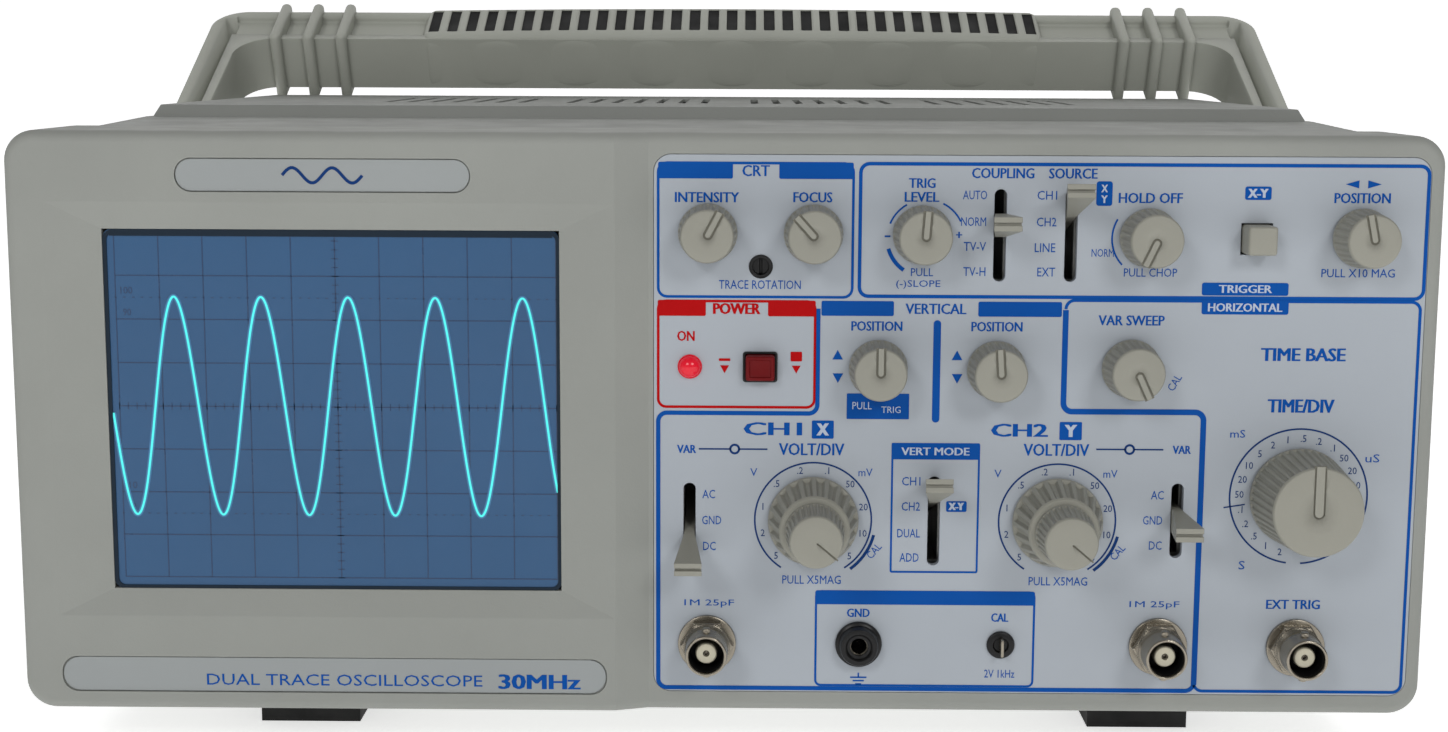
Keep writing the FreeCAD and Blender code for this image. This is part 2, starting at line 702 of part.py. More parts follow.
def panel_outline(sketch, spare):
    """Outline of the printed panel, larger all round by the spare amount."""
    soft_rectangle(
        sketch,
        (f"plate_left - ({spare})", f"plate_right + ({spare})"),
        (f"mid_up - plate_rise - ({spare})", f"mid_up + plate_rise + ({spare})"),
        f"max(plate_corner + ({spare}); 1)")


def make_control_panel():
    """Printed front plate with a hole for every control."""
    body = start_body("control_panel")
    face = draw_on(body, "XZ_Plane", "-(face_y + plate_thick)")
    panel_outline(face, "0")
    pad(body, face, "plate_thick")
    holes = draw_on(body, "XZ_Plane", "-face_y")
    control_openings(holes, "gap")
    cut = pocket(body, holes, "plate_thick + 1")
    middle = size_of("mid_up")
    slots = [(size_of(f"{spot}_x"), middle + size_of(f"{spot}_up"), size_of(length) / 2)
             for group_spots, length in ((LONG_SLOTS, "long_slot"), (SHORT_SLOTS, "short_slot"))
             for spot in group_spots]
    half = size_of("slot_wide") / 2

    def at_slot_end(edge):
        centre = edge.CenterOfMass
        return runs_along(edge, 1) and any(
            abs(abs(centre.x - x) - half) < 0.05 and abs(abs(centre.z - z) - tall) < 0.05
            for x, z, tall in slots)

    round_edges(body, cut, at_slot_end, "slot_wide / 2 - 0.05")


def make_front_chassis():
    """Steel plate behind the front moulding: it carries the tube and every control."""
    body = start_body("front_chassis")
    face = draw_on(body, "XZ_Plane", "-(face_y + web_back + gap + sheet)")
    inside = "bezel_half - bezel_wall - 1.5"
    rise = "bezel_rise - bezel_wall - 1.5"
    rectangle(face, (f"-({inside})", inside), (f"mid_up - ({rise})", f"mid_up + {rise}"))
    pad(body, face, "sheet")
    holes = draw_on(body, "XZ_Plane", "-(face_y + web_back)")
    control_openings(holes, "gap")
    rectangle(
        holes,
        ("screen_x - filter_wide / 2 - gap", "screen_x + filter_wide / 2 + gap"),
        ("mid_up + screen_up - filter_tall / 2 - gap",
         "mid_up + screen_up + filter_tall / 2 + gap"))
    pocket(body, holes, "sheet + 1")


# ------------------------------------------------------------- steel housing

def screw_rows():
    """Along-the-case places of the side screws."""
    return ("-120", "20", "165")


def screw_height():
    return "mid_up + cover_low + 7"


def make_top_cover():
    """Top and both sides in one bent sheet, with a raised and slotted band."""
    body = start_body("top_cover_sheet")
    nodes.remove(body)
    face = draw_on(body, "XZ_Plane", "-cover_back")
    rectangle(face, ("-cover_half", "cover_half"), ("mid_up + cover_low", "mid_up + cover_top"))
    solid = pad(body, face, "cover_back - (face_y + bezel_deep + gap)")
    top = size_of("mid_up") + size_of("cover_top")
    round_edges(
        body, solid,
        lambda edge: runs_along(edge, 1) and abs(edge.CenterOfMass.z - top) < 0.1,
        "cover_corner")
    hollow = block(
        ("-(cover_half - sheet)", "cover_half - sheet"),
        ("face_y + bezel_deep - 1", "cover_back + 1"),
        ("mid_up + cover_low - 1", "mid_up + cover_top - sheet"))
    long_edges = doc.addObject("Part::Fillet", "hollow_round")
    long_edges.Base = hollow
    doc.recompute()
    inner_top = top - size_of("sheet")
    radius = size_of("cover_corner") - size_of("sheet")
    long_edges.Edges = [(index, radius, radius)
                        for index, edge in enumerate(hollow.Shape.Edges, 1)
                        if runs_along(edge, 1) and abs(edge.CenterOfMass.z - inner_top) < 0.1]
    bent = remove(body, long_edges)
    outside = raised_band("0", "mid_up + cover_top - sheet", "band_rise + sheet")
    inside = raised_band("sheet", "mid_up + cover_top - 2 * sheet", "band_rise + sheet")
    ramp = front_ramp("0", "mid_up + cover_top")
    under_ramp = front_ramp("sheet", "mid_up + cover_top - sheet")
    raised = remove(join(bent, outside, ramp), inside, under_ramp)
    cover = remove(raised, *(top_vents() + side_vents() + side_screw_holes()))
    keep("top_cover", cover)


def raised_band(inset, low, rise):
    """A block with four sloped sides, wide at its foot."""
    wedge = doc.addObject("Part::Wedge", "band")
    half = f"(band_half - {inset})"
    for prop, text in (
            ("Xmin", f"-{half}"),
            ("Xmax", half),
            ("X2min", f"-{half} + band_slope"),
            ("X2max", f"{half} - band_slope"),
            ("Ymin", "0.001"),
            ("Ymax", rise),
            ("Zmin", f"-(band_back - {inset})"),
            ("Zmax", f"-(band_front + {inset})"),
            ("Z2min", f"-(band_back - {inset}) + band_slope"),
            ("Z2max", f"-(band_front + {inset}) - band_slope")):
        bind(wedge, prop, text)
    bind_place(wedge, "0", "0", low, FORWARD)
    return wedge


def front_ramp(inset, low):
    """A shallow wedge that rises from the front of the cover to the raised band."""
    wedge = doc.addObject("Part::Wedge", "ramp")
    half = f"(ramp_half - {inset})"
    back = "-(band_front + 2 * band_slope)"
    for prop, text in (
            ("Xmin", f"-{half}"), ("Xmax", half), ("X2min", f"-{half}"), ("X2max", half),
            ("Ymin", "0"), ("Ymax", "ramp_rise"),
            ("Zmin", back), ("Zmax", f"-(ramp_front + {inset})"),
            ("Z2min", back), ("Z2max", "-(band_front + band_slope / 2)")):
        bind(wedge, prop, text)
    bind_place(wedge, "0", "0", low, FORWARD)
    return wedge


def top_vents():
    """Four groups of seven slots in the raised band, which run from front to back."""
    middle = "(band_front + band_back) / 2"
    low = "mid_up + cover_top - 2"
    return [block((f"{centre} + {step} * vent_pitch - vent_wide / 2",
                   f"{centre} + {step} * vent_pitch + vent_wide / 2"),
                  (f"{middle} - vent_long / 2", f"{middle} + vent_long / 2"),
                  (low, f"{low} + band_rise + 4"))
            for centre in (-79, -26.5, 26.5, 79) for step in range(-3, 4)]


def side_vents():
    """Nine upright slots through both sides, behind the handle."""
    slots = []
    for step in range(9):
        low = f"side_vent_first + {step} * vent_pitch * 1.6"
        slots.append(block(
            ("-(cover_half + 5)", "cover_half + 5"),
            (low, f"{low} + vent_wide"),
            ("mid_up + side_vent_low", "mid_up + side_vent_low + side_vent_long")))
    return slots


def side_screw_holes():
    return [rod(("-(cover_half + 5)", "cover_half + 5"), along, screw_height(), "screw_radius + gap")
            for along in screw_rows()]


def make_bottom_cover():
    """Pan with two side flanges that the cover is screwed to."""
    front = "face_y + bezel_deep + gap"
    floor = "mid_up + pan_low"
    tray = block(("-pan_half", "pan_half"), (front, "cover_back"), (floor, f"{floor} + pan_flange"))
    inside = block(
        ("-(pan_half - sheet)", "pan_half - sheet"),
        (f"{front} - 1", "cover_back + 1"),
        (f"{floor} + sheet", f"{floor} + pan_flange + 1"))
    cuts = side_screw_holes() + [rod(x, y, (f"{floor} - 1", f"{floor} + 3"), "screw_radius + gap")
                                 for x, y in foot_screws()]
    for step in range(12):
        low = f"-20 + {step} * vent_pitch * 1.5"
        for centre in (-60, 60):
            cuts.append(block(
                (f"{centre} - 25", f"{centre} + 25"),
                (low, f"{low} + vent_wide"),
                (f"{floor} - 1", f"{floor} + 3")))
    keep("bottom_cover", remove(tray, inside, *cuts))


def foot_screws():
    """Middle of each foot, where its screw goes up into the pan."""
    return [(f"{side} * foot_x", f"{row} + foot_deep / 2")
            for row in ("front_foot_y", "rear_foot_y") for side in (-1, 1)]


def make_feet():
    """Four rubber feet under the pan, each recessed for its screw."""
    feet = []
    for x, y in foot_screws():
        foot = block(
            (f"{x} - foot_wide / 2", f"{x} + foot_wide / 2"),
            (f"{y} - foot_deep / 2", f"{y} + foot_deep / 2"),
            ("0", "mid_up + pan_low - gap"))
        recess = rod(x, y, ("-1", "8"), "screw_head + 1.5")
        passage = rod(x, y, ("7", "mid_up + pan_low"), "screw_radius + gap")
        feet.append(remove(foot, recess, passage))
    keep("feet", group(*feet))


def rear_hole_centres():
    return [(f"outlet_first + {step} * outlet_pitch", "mid_up + outlet_up") for step in range(2)]


def make_rear_panel():
    """Back plate with the mains inlet, two coaxial outlets and vent slots."""
    back = "rear_panel_back"
    front = "rear_panel_back - rear_panel_thick"
    inside = "pan_half - sheet - 0.4"
    plate = block(
        (f"-({inside})", inside),
        (front, back),
        ("mid_up + pan_low + sheet + 0.2", "mid_up + cover_top - sheet - 0.2"))
    through = (f"{front} - 1", f"{back} + 1")
    cuts = [block(("inlet_x - inlet_half + 3.7", "inlet_x + inlet_half - 3.7"), through,
                  ("mid_up + inlet_low + 3.7", "mid_up + inlet_high - 3.7"))]
    cuts += [rod(x, through, z, "barrel_radius + gap") for x, z in rear_hole_centres()]
    cuts += [rod(x, through, z, "screw_radius + gap") for x, z in wrap_centres()]
    for step in range(10):
        low = f"-30 + {step} * vent_pitch"
        cuts.append(block((low, f"{low} + vent_wide"), through, ("mid_up - 5", "mid_up + 45")))
    top = size_of("mid_up") + size_of("cover_top") - size_of("sheet") - 0.2
    rounded = doc.addObject("Part::Fillet", "rear_round")
    rounded.Base = plate
    doc.recompute()
    radius = size_of("cover_corner")
    rounded.Edges = [(index, radius, radius) for index, edge in enumerate(plate.Shape.Edges, 1)
                     if runs_along(edge, 1) and abs(edge.CenterOfMass.z - top) < 0.1]
    keep("rear_panel", remove(rounded, *cuts))


def wrap_centres():
    """The four standoffs stand near the corners of the rear panel."""
    return [(f"{side} * wrap_x", f"mid_up + {level} * wrap_up")
            for side in (-1, 1) for level in (-1, 1)]


def make_cord_wraps():
    """Four posts at the back: the mains lead winds on them, and it can stand on them."""
    posts = []
    for x, z in wrap_centres():
        start = "rear_panel_back + gap"
        stem = rod(x, (start, "wrap_back - 3"), z, "wrap_stem")
        head = rod(x, ("wrap_back - 4", "wrap_back"), z, "wrap_head")
        bore = rod(x, (f"{start} - 1", "wrap_back - 6"), z, "screw_radius + gap")
        recess = rod(x, ("wrap_back - 6.5", "wrap_back + 1"), z, "screw_head + 1")
        posts.append(remove(join(stem, head), bore, recess))
    keep("cord_wraps", group(*posts))


def make_chassis_rails():
    """Two bottom rails and an upright divider between the tube and the boards."""
    front = "face_y + web_back + 2 * gap + sheet"
    back = "rear_panel_back - rear_panel_thick - gap"
    floor = "mid_up + pan_low + sheet + gap"
    pieces = []
    for side in (-1, 1):
        outer = f"{side} * (pan_half - sheet - 0.4)"
        web = block(sorted_pair(side, outer, f"{side} * (pan_half - sheet - 1.9)"),
                    (front, back), (floor, f"{floor} + rail_tall"))
        foot = block(sorted_pair(side, outer, f"{side} * (pan_half - sheet - 12)"),
                     (front, back), (floor, f"{floor} + 1.5"))
        bores = [rod(sorted_pair(side, f"{side} * (pan_half + 5)", f"{side} * (pan_half - 30)"),
                     along, screw_height(), "screw_radius + gap") for along in screw_rows()]
        pieces.append(remove(join(web, foot), *bores))
    pieces.append(block(("divider_x - 0.6", "divider_x + 0.6"), (front, "divider_back"),
                        (floor, "mid_up + cover_top - 8")))
    keep("chassis_rails", group(*pieces))


def sorted_pair(side, outer, inner):
    """The two ends of a span on the left (-1) or right (+1), lowest first."""
    return (outer, inner) if side < 0 else (inner, outer)


def make_case_screws():
    """Six screws through the sides and one through each foot."""
    screws = []
    for side in (-1, 1):
        for along in screw_rows():
            skin = f"{side} * (cover_half + gap)"
            head = rod(sorted_pair(side, f"{side} * (cover_half + gap + 1.6)", skin),
                       along, screw_height(), "screw_head")
            shank = rod(sorted_pair(side, skin, f"{side} * (cover_half - 7)"),
                        along, screw_height(), "screw_radius")
            screws.append(join(head, shank))
    for x, y in foot_screws():
        head = rod(x, y, ("6.2", "7.9"), "screw_head")
        shank = rod(x, y, ("7.8", "mid_up + pan_low + sheet"), "screw_radius")
        screws.append(join(head, shank))
    keep("case_screws", group(*screws))


# -------------------------------------------------------------- display tube

def make_screen_filter():
    body = start_body("screen_filter")
    back = "face_y + web_back + gap + filter_thick"
    face = draw_on(body, "XZ_Plane", f"-({back})")
    rectangle(
        face,
        ("screen_x - filter_wide / 2", "screen_x + filter_wide / 2"),
        ("mid_up + screen_up - filter_tall / 2", "mid_up + screen_up + filter_tall / 2"))
    pad(body, face, "filter_thick")


def make_crt_tube():
    """Glass envelope: a rectangular face, a funnel and a round neck."""
    body = start_body("crt_tube")
    centre_up = "mid_up + screen_up"
    face = draw_on(body, "XZ_Plane", "-tube_face")
    rectangle(
        face,
        ("screen_x - tube_wide / 2", "screen_x + tube_wide / 2"),
        (f"{centre_up} - tube_tall / 2", f"{centre_up} + tube_tall / 2"))
    pad(body, face, "tube_skirt", reverse=True)
    wide_end = draw_on(body, "XZ_Plane", "-(tube_face + tube_skirt)")
    rectangle(
        wide_end,
        ("screen_x - tube_wide / 2", "screen_x + tube_wide / 2"),
        (f"{centre_up} - tube_tall / 2", f"{centre_up} + tube_tall / 2"))
    narrow_end = draw_on(body, "XZ_Plane", "-neck_front")
    rectangle(
        narrow_end,
        ("screen_x - neck_radius * 0.7", "screen_x + neck_radius * 0.7"),
        (f"{centre_up} - neck_radius * 0.7", f"{centre_up} + neck_radius * 0.7"))
    funnel = body.newObject("PartDesign::AdditiveLoft", "funnel")
    funnel.Profile = wide_end
    funnel.Sections = [narrow_end]
    funnel.Ruled = True
    doc.recompute()
    neck = draw_on(body, "XZ_Plane", "-(neck_front - 4)")
    circle(neck, "screen_x", centre_up, "neck_radius")
    pad(body, neck, "neck_back - neck_front + 4", reverse=True)


def make_crt_shield():
    """Soft-iron shield: a cone over the funnel and a tube over the neck."""
    centre = "mid_up + screen_up"
    outer = join(
        taper("screen_x", ("shield_front", "neck_front"), centre,
              "shield_mouth + sheet", "shield_radius + sheet"),
        rod("screen_x", ("neck_front", "neck_back + 4"), centre, "shield_radius + sheet"))
    inner = join(
        taper("screen_x", ("shield_front", "neck_front"), centre, "shield_mouth", "shield_radius"),
        rod("screen_x", ("neck_front - 0.5", "neck_back + 5"), centre, "shield_radius"))
    keep("crt_shield", remove(outer, inner))


def make_crt_mount():
    """Clamp frame around the skirt of the tube, with four screw ears."""
    start = "face_y + web_back + 2 * gap + sheet"
    centre = "mid_up + screen_up"
    frame = block(
        ("screen_x - tube_wide / 2 - 6", "screen_x + tube_wide / 2 + 6"),
        (start, f"{start} + 12"),
        (f"{centre} - tube_tall / 2 - 6", f"{centre} + tube_tall / 2 + 6"))
    hole = block(
        ("screen_x - tube_wide / 2 - 0.7", "screen_x + tube_wide / 2 + 0.7"),
        (f"{start} - 1", f"{start} + 13"),
        (f"{centre} - tube_tall / 2 - 0.7", f"{centre} + tube_tall / 2 + 0.7"))
    keep("crt_mount", remove(frame, hole))


def make_crt_socket():
    """Socket on the base of the tube, with its small round board."""
    centre = "mid_up + screen_up"
    cap = rod("screen_x", ("neck_back + gap", "neck_back + 14"), centre, "22")
    board = rod("screen_x", ("neck_back + 14.1", "neck_back + 15.7"), centre, "30")
    keep("crt_socket", group(cap, board))


# ------------------------------------------------------------ electronics

def make_main_board():
    body = start_body("main_board")
    deck = draw_on(body, "XY_Plane", "mid_up + deck_up")
    rectangle(deck, ("deck_left", "deck_right"), ("deck_front", "deck_back"))
    pad(body, deck, "board_thick")


def make_board_components():
    """Packages, transistors' cans and capacitors that stand on the main board."""
    deck = "mid_up + deck_up + board_thick + gap"
    pieces = []
    for row in range(4):
        for column in range(4):
            x = f"deck_left + 28 + {column} * package_pitch_x"
            y = f"deck_front + 35 + {row} * package_pitch_y"
            pieces.append(block((f"{x} - 4", f"{x} + 4"), (f"{y} - 10", f"{y} + 10"),
                                (deck, f"{deck} + 5")))
            pieces.append(rod(f"{x} + 14", f"{y}", (deck, f"{deck} + 13"), "4.5"))
    keep("board_components", group(*pieces))


def make_control_board():
    """Upright board behind the panel; the power switch passes through its notch."""
    front = "face_y + upright_back"
    board = block(("-14", "154"), (front, f"{front} + board_thick"), ("mid_up - 44", "mid_up + 57"))
    notch = block(("power_x - 9", "power_x + 9"), (f"{front} - 1", f"{front} + 5"),
                  ("mid_up + power_up - 10", "mid_up + power_up + 10"))
    keep("control_board", remove(board, notch))


def make_power_supply():
    """Supply board with its capacitors, and the finned heat sink."""
    floor = "mid_up + pan_low + sheet + 6"
    board = block(("supply_left", "supply_right"), ("supply_front", "supply_rear"),
                  (floor, f"{floor} + board_thick"))
    deck = f"{floor} + board_thick + gap"
    cans = [rod(f"supply_left + 14 + {step} * supply_pitch", "supply_front + 16",
                (deck, f"{deck} + 34"), "9") for step in range(5)]
    cans += [rod(f"supply_left + 14 + {step} * supply_pitch", "supply_rear - 18",
                 (deck, f"{deck} + 25"), "8") for step in range(3)]
    sink = (deck, f"{deck} + sink_tall")
    plate = block(("supply_right - 62", "supply_right - 4"), ("146", "149"), sink)
    fins = []
    for step in range(7):
        x = f"supply_right - 60 + {step} * fin_pitch"
        fins.append(block((x, f"{x} + 1.6"), ("148.5", "supply_rear - 6"), sink))
    keep("power_supply", group(board, join(plate, *fins), *cans))


def make_power_transformer():
    """Laminated core with its two windings, bolted to the pan."""
    floor = "mid_up + pan_low + sheet + gap"
    window = (f"{floor} + core_leg", f"{floor} + core_tall - core_leg")
    through = ("core_front - 8", "core_rear + 10")
    core = remove(
        block(("core_middle - core_half", "core_middle + core_half"), ("core_front", "core_rear"),
              (floor, f"{floor} + core_tall")),
        block(("core_middle - 21", "core_middle - 6"), through, window),
        block(("core_middle + 6", "core_middle + 21"), through, window))
    shell = block(("core_middle - 20.8", "core_middle + 20.8"),
                  ("core_front - 12", "core_rear + 12"),
                  (f"{floor} + core_leg + 0.2", f"{floor} + core_tall - core_leg - 0.2"))
    leg = block(("core_middle - 6.2", "core_middle + 6.2"),
                ("core_front - 0.2", "core_rear + 0.2"), window)
    keep("power_transformer", group(core, remove(shell, leg)))


def make_high_voltage_module():
    floor = "mid_up + pan_low + sheet + gap"
    can = block(("converter_left", "converter_right"), ("converter_front", "converter_rear"),
                (floor, f"{floor} + converter_tall"))
    lid = block(("converter_left + 2", "converter_right - 2"),
                ("converter_front + 2", "converter_rear - 2"),
                (f"{floor} + converter_tall - 0.1", f"{floor} + converter_tall + 2"))
    keep("high_voltage_module", join(can, lid))


# ------------------------------------------------- bodies behind the controls

def behind(depth):
    """A place behind the front plane of the panel."""
    return f"face_y + {depth}"


def make_pot_bodies():
    """One potentiometer behind each small knob, with its bushing and bore."""
    pots = []
    for spot in PLAIN_POTS + PULL_POTS:
        x, z = across_of(spot), up_of(spot)
        bushing = rod(x, (behind(-0.6), behind("bushing_back")), z, "bushing_radius")
        can = rod(x, (behind("web_back + sheet + 0.2"), behind("pot_back")), z, "pot_radius")
        bore = rod(x, (behind(-2), behind("shaft_back + 0.3")), z, "bore_radius")
        pots.append(remove(join(bushing, can), bore))
    keep("pot_bodies", group(*pots, trimmer_can()))


def make_rotary_switches():
    """Range switches: two with hollow outer shafts and one plain."""
    switches = []
    for spot in COAXIAL_SWITCHES + ("time_div",):
        x, z = across_of(spot), up_of(spot)
        hollow = spot in COAXIAL_SWITCHES
        bushing = rod(x, (behind(-0.6), behind("bushing_back")), z,
                      "wide_bushing_radius" if hollow else "bushing_radius")
        can = rod(x, (behind("web_back + sheet + 0.2"), behind("rotary_back")), z,
                  "rotary_radius")
        bore = rod(x, (behind(-2), behind("shaft_back + 0.3")), z,
                   "tube_bore_radius" if hollow else "bore_radius")
        switches.append(remove(join(bushing, can), bore))
    keep("rotary_switches", group(*switches))


def slide_switch_solids():
    """A switch behind each lever: an open housing with the fixed pin of the lever."""
    switches = []
    for spot in LONG_SLOTS + SHORT_SLOTS:
        length = "long_slot" if spot in LONG_SLOTS else "short_slot"
        start = behind("web_back + sheet + 0.2")
        across = (across_of(spot, "-slot_wide / 2"), across_of(spot, "slot_wide / 2"))
        housing = block(
            (across_of(spot, "-slide_half_wide"), across_of(spot, "slide_half_wide")),
            (start, behind("slide_back")),
            (up_of(spot, "-slide_half_tall"), up_of(spot, "slide_half_tall")))
        channel = block(across, (behind(5), behind("lever_pivot + lever_hub + 0.3")),
                        (up_of(spot, f"-{length} / 2"), up_of(spot, f"{length} / 2")))
        pin = rod((across_of(spot, "-slot_wide / 2 - 1"), across_of(spot, "slot_wide / 2 + 1")),
                  behind("lever_pivot"), up_of(spot), "lever_pin")
        switches.append(join(remove(housing, channel), pin))
    return switches


def push_switch_solids():
    """The mains switch and the small key's switch, each with the channel of its rod."""
    switches = []
    for spot, back in (("power", "mains_switch_back"), ("xy_key", "key_switch_back")):
        can = block((across_of(spot, "-push_half_wide"), across_of(spot, "push_half_wide")),
                    (behind("push_front"), behind(back)),
                    (up_of(spot, "-push_half_tall"), up_of(spot, "push_half_tall")))
        channel = block(
            (across_of(spot, "-push_rod - 0.2"), across_of(spot, "push_rod + 0.2")),
            (behind("push_front - 2"), behind("push_front + 9")),
            (up_of(spot, "-push_rod - 0.2"), up_of(spot, "push_rod + 0.2")))
        switches.append(remove(can, channel))
    return switches


def make_panel_switches():
    keep("panel_switches", group(*slide_switch_solids(), *push_switch_solids()))


# ------------------------------------------------------------ moving controls

def place_control(thing, spot, angle_alias=None):
    """Move a control built about the origin to its spot, its pointer turned to rest."""
    if angle_alias:
        turn = FreeCAD.Rotation(V(0, 1, 0), 1)
        bind_place(thing, f"{spot}_x", "face_y", f"mid_up + {spot}_up", turn)
        bind(thing, "Placement.Rotation.Angle", f"{angle_alias} + 360")
    else:
        bind_place(thing, f"{spot}_x", "face_y", f"mid_up + {spot}_up")


def front_rod(base_y, tip_y, radius):
    """A rod on the Y axis; both ends are given as distances in front of the panel."""
    cylinder = doc.addObject("Part::Cylinder", "front_rod")
    bind(cylinder, "Radius", radius)
    bind(cylinder, "Height", f"({tip_y}) - ({base_y})")
    bind_place(cylinder, "0", f"-({base_y})", "0", FORWARD)
    return cylinder


def pointer_groove(front, radius):
    """The groove in a knob's face, from near its middle to its rim."""
    return block(("-mark_wide / 2", "mark_wide / 2"), (f"-({front}) - 1", f"-({front}) + mark_deep"),
                 (f"({radius}) * 0.1", f"({radius}) + 1"))


def make_small_knobs():
    """Plain knobs carry their own shaft; pull knobs slide on a separate shaft."""
    length = "small_knob_long"
    for spot in PLAIN_POTS + PULL_POTS:
        cap = nose("knob_gap", length, "small_knob_base", "small_knob_face")
        mark = pointer_groove(length, "small_knob_face")
        if spot in PLAIN_POTS:
            shaft = front_rod("-shaft_back", "knob_gap + 2", "shaft_radius")
            knob = join(remove(cap, mark), shaft)
        else:
            bore = front_rod("knob_gap - 1", f"{length} - 2", "bore_radius")
            knob = remove(cap, mark, bore)
            shaft = front_rod("-shaft_back", f"{length} - 2.2", "shaft_radius")
            place_control(keep(f"{spot}_shaft", shaft_at_origin(shaft)), spot)
        place_control(keep(f"{spot}_knob", knob), spot, f"{spot}_turn")


def shaft_at_origin(shaft):
    """Wrap a rod so that its own placement stays free for its spot."""
    flat = block(("-5", "5"), ("-2.9", "-0.9"), ("shaft_radius - 0.4", "5"))
    return remove(shaft, flat)


def make_range_knobs():
    """VOLTS/DIV knobs on hollow shafts, with a pull knob on an inner shaft in each."""
    for channel, spot in enumerate(COAXIAL_SWITCHES, 1):
        length = "range_knob_long"
        cap = nose("knob_gap", length, "range_knob_base", "range_knob_face")
        tube = front_rod("-shaft_back", "knob_gap + 2", "tube_shaft_radius")
        bore = front_rod("-shaft_back - 1", f"{length} + 1", "bore_radius")
        mark = pointer_groove(length, "range_knob_face")
        knob = remove(join(cap, tube), bore, mark)
        place_control(keep(f"{spot}_knob", knob), spot, f"{spot}_turn")

        tip = "vernier_long"
        inner = nose("vernier_start", tip, "small_knob_base", "small_knob_face")
        inner_bore = front_rod("vernier_start - 1", f"{tip} - 2", "bore_radius")
        inner_mark = pointer_groove(tip, "small_knob_face")
        place_control(keep(f"vernier_{channel}_knob", remove(inner, inner_bore, inner_mark)),
                      spot, f"vernier_{channel}_turn")
        shaft = front_rod("-shaft_back", f"{tip} - 2.2", "shaft_radius")
        place_control(keep(f"vernier_{channel}_shaft", shaft_at_origin(shaft)), spot)


def make_time_div_knob():
    length = "sweep_knob_long"
    cap = nose("knob_gap", length, "sweep_knob_base", "sweep_knob_face")
    mark = pointer_groove(length, "sweep_knob_face")
    shaft = front_rod("-shaft_back", "knob_gap + 2", "shaft_radius")
    place_control(keep("time_div_knob", join(remove(cap, mark), shaft)), "time_div",
                  "time_div_turn")


def make_levers():
    """Levers that tilt on a pin: narrow in the slot, spread into a paddle in front of it."""
    front = "(lever_pivot + lever_long)"
    root = "(lever_pivot + 1)"
    for spot in LONG_SLOTS + SHORT_SLOTS:
        paddle = doc.addObject("Part::Wedge", "paddle")
        for prop, text in (
                ("Xmin", "-stem_wide / 2"), ("Xmax", "stem_wide / 2"),
                ("X2min", "-lever_wide / 2"), ("X2max", "lever_wide / 2"),
                ("Ymin", root), ("Ymax", front),
                ("Zmin", "-stem_tall / 2"), ("Zmax", "stem_tall / 2"),
                ("Z2min", "-lever_thin / 2"), ("Z2max", "lever_thin / 2")):
            bind(paddle, prop, text)
        paddle.Placement = FreeCAD.Placement(V(0, 0, 0), HALF_TURN)
        stem = block(("-stem_wide / 2", "stem_wide / 2"), (f"-{root} - 0.2", "-1"),
                     ("-stem_tall / 2", "stem_tall / 2"))
        hub = rod(("-stem_wide / 2", "stem_wide / 2"), "0", "0", "lever_hub")
        bore = rod(("-stem_wide", "stem_wide"), "0", "0", "lever_bore")
        groove = block(("-lever_wide", "lever_wide"), (f"-{front} - 1", f"-{front} + lever_groove"),
                       ("-lever_groove / 2", "lever_groove / 2"))
        lever = keep(f"{spot}_lever", remove(join(paddle, stem, hub), bore, groove))
        bind_place(lever, f"{spot}_x", behind("lever_pivot"), up_of(spot),
                   FreeCAD.Rotation(V(1, 0, 0), 1))
        bind(lever, "Placement.Rotation.Angle", f"360 - {spot}_tilt")


def push_cap(wide, tall, front, rod_end):
    """A rectangular cap on the square rod of a push switch."""
    cap = block((f"-{wide} / 2", f"{wide} / 2"), (f"-{front}", "9"),
                (f"-{tall} / 2", f"{tall} / 2"))
    stalk = block(("-push_rod", "push_rod"), ("8", rod_end), ("-push_rod", "push_rod"))
    return join(cap, stalk)


def make_power_button():
    button = push_cap("button_wide", "button_tall", "button_long", "push_front + 7")
    place_control(keep("power_button", button), "power")


def make_xy_key():
    key = push_cap("key_wide", "key_wide", "key_long", "push_front + 3")
    place_control(keep("xy_key", key), "xy_key")


def make_rotation_trimmer():
    """Screwdriver trimmer that sits just below the panel's surface."""
    stub = rod("0", ("0.8", "14"), "0", "1.9")
    slot = block(("-0.35", "0.35"), ("0", "2"), ("-3", "3"))
    trimmer = keep("rotation_trimmer", remove(stub, slot))
    place_control(trimmer, "rotation")


def trimmer_can():
    """Fixed body of the trimmer behind the chassis plate."""
    x, z = across_of("rotation"), up_of("rotation")
    can = block((across_of("rotation", "-3"), across_of("rotation", "3")),
                (behind("web_back + sheet + 0.2"), behind(16)),
                (up_of("rotation", "-5"), up_of("rotation", "3.5")))
    bore = rod(x, (behind(5), behind(14.5)), z, "1.95")
    return remove(can, bore)


# ------------------------------------------------------------- fixed sockets

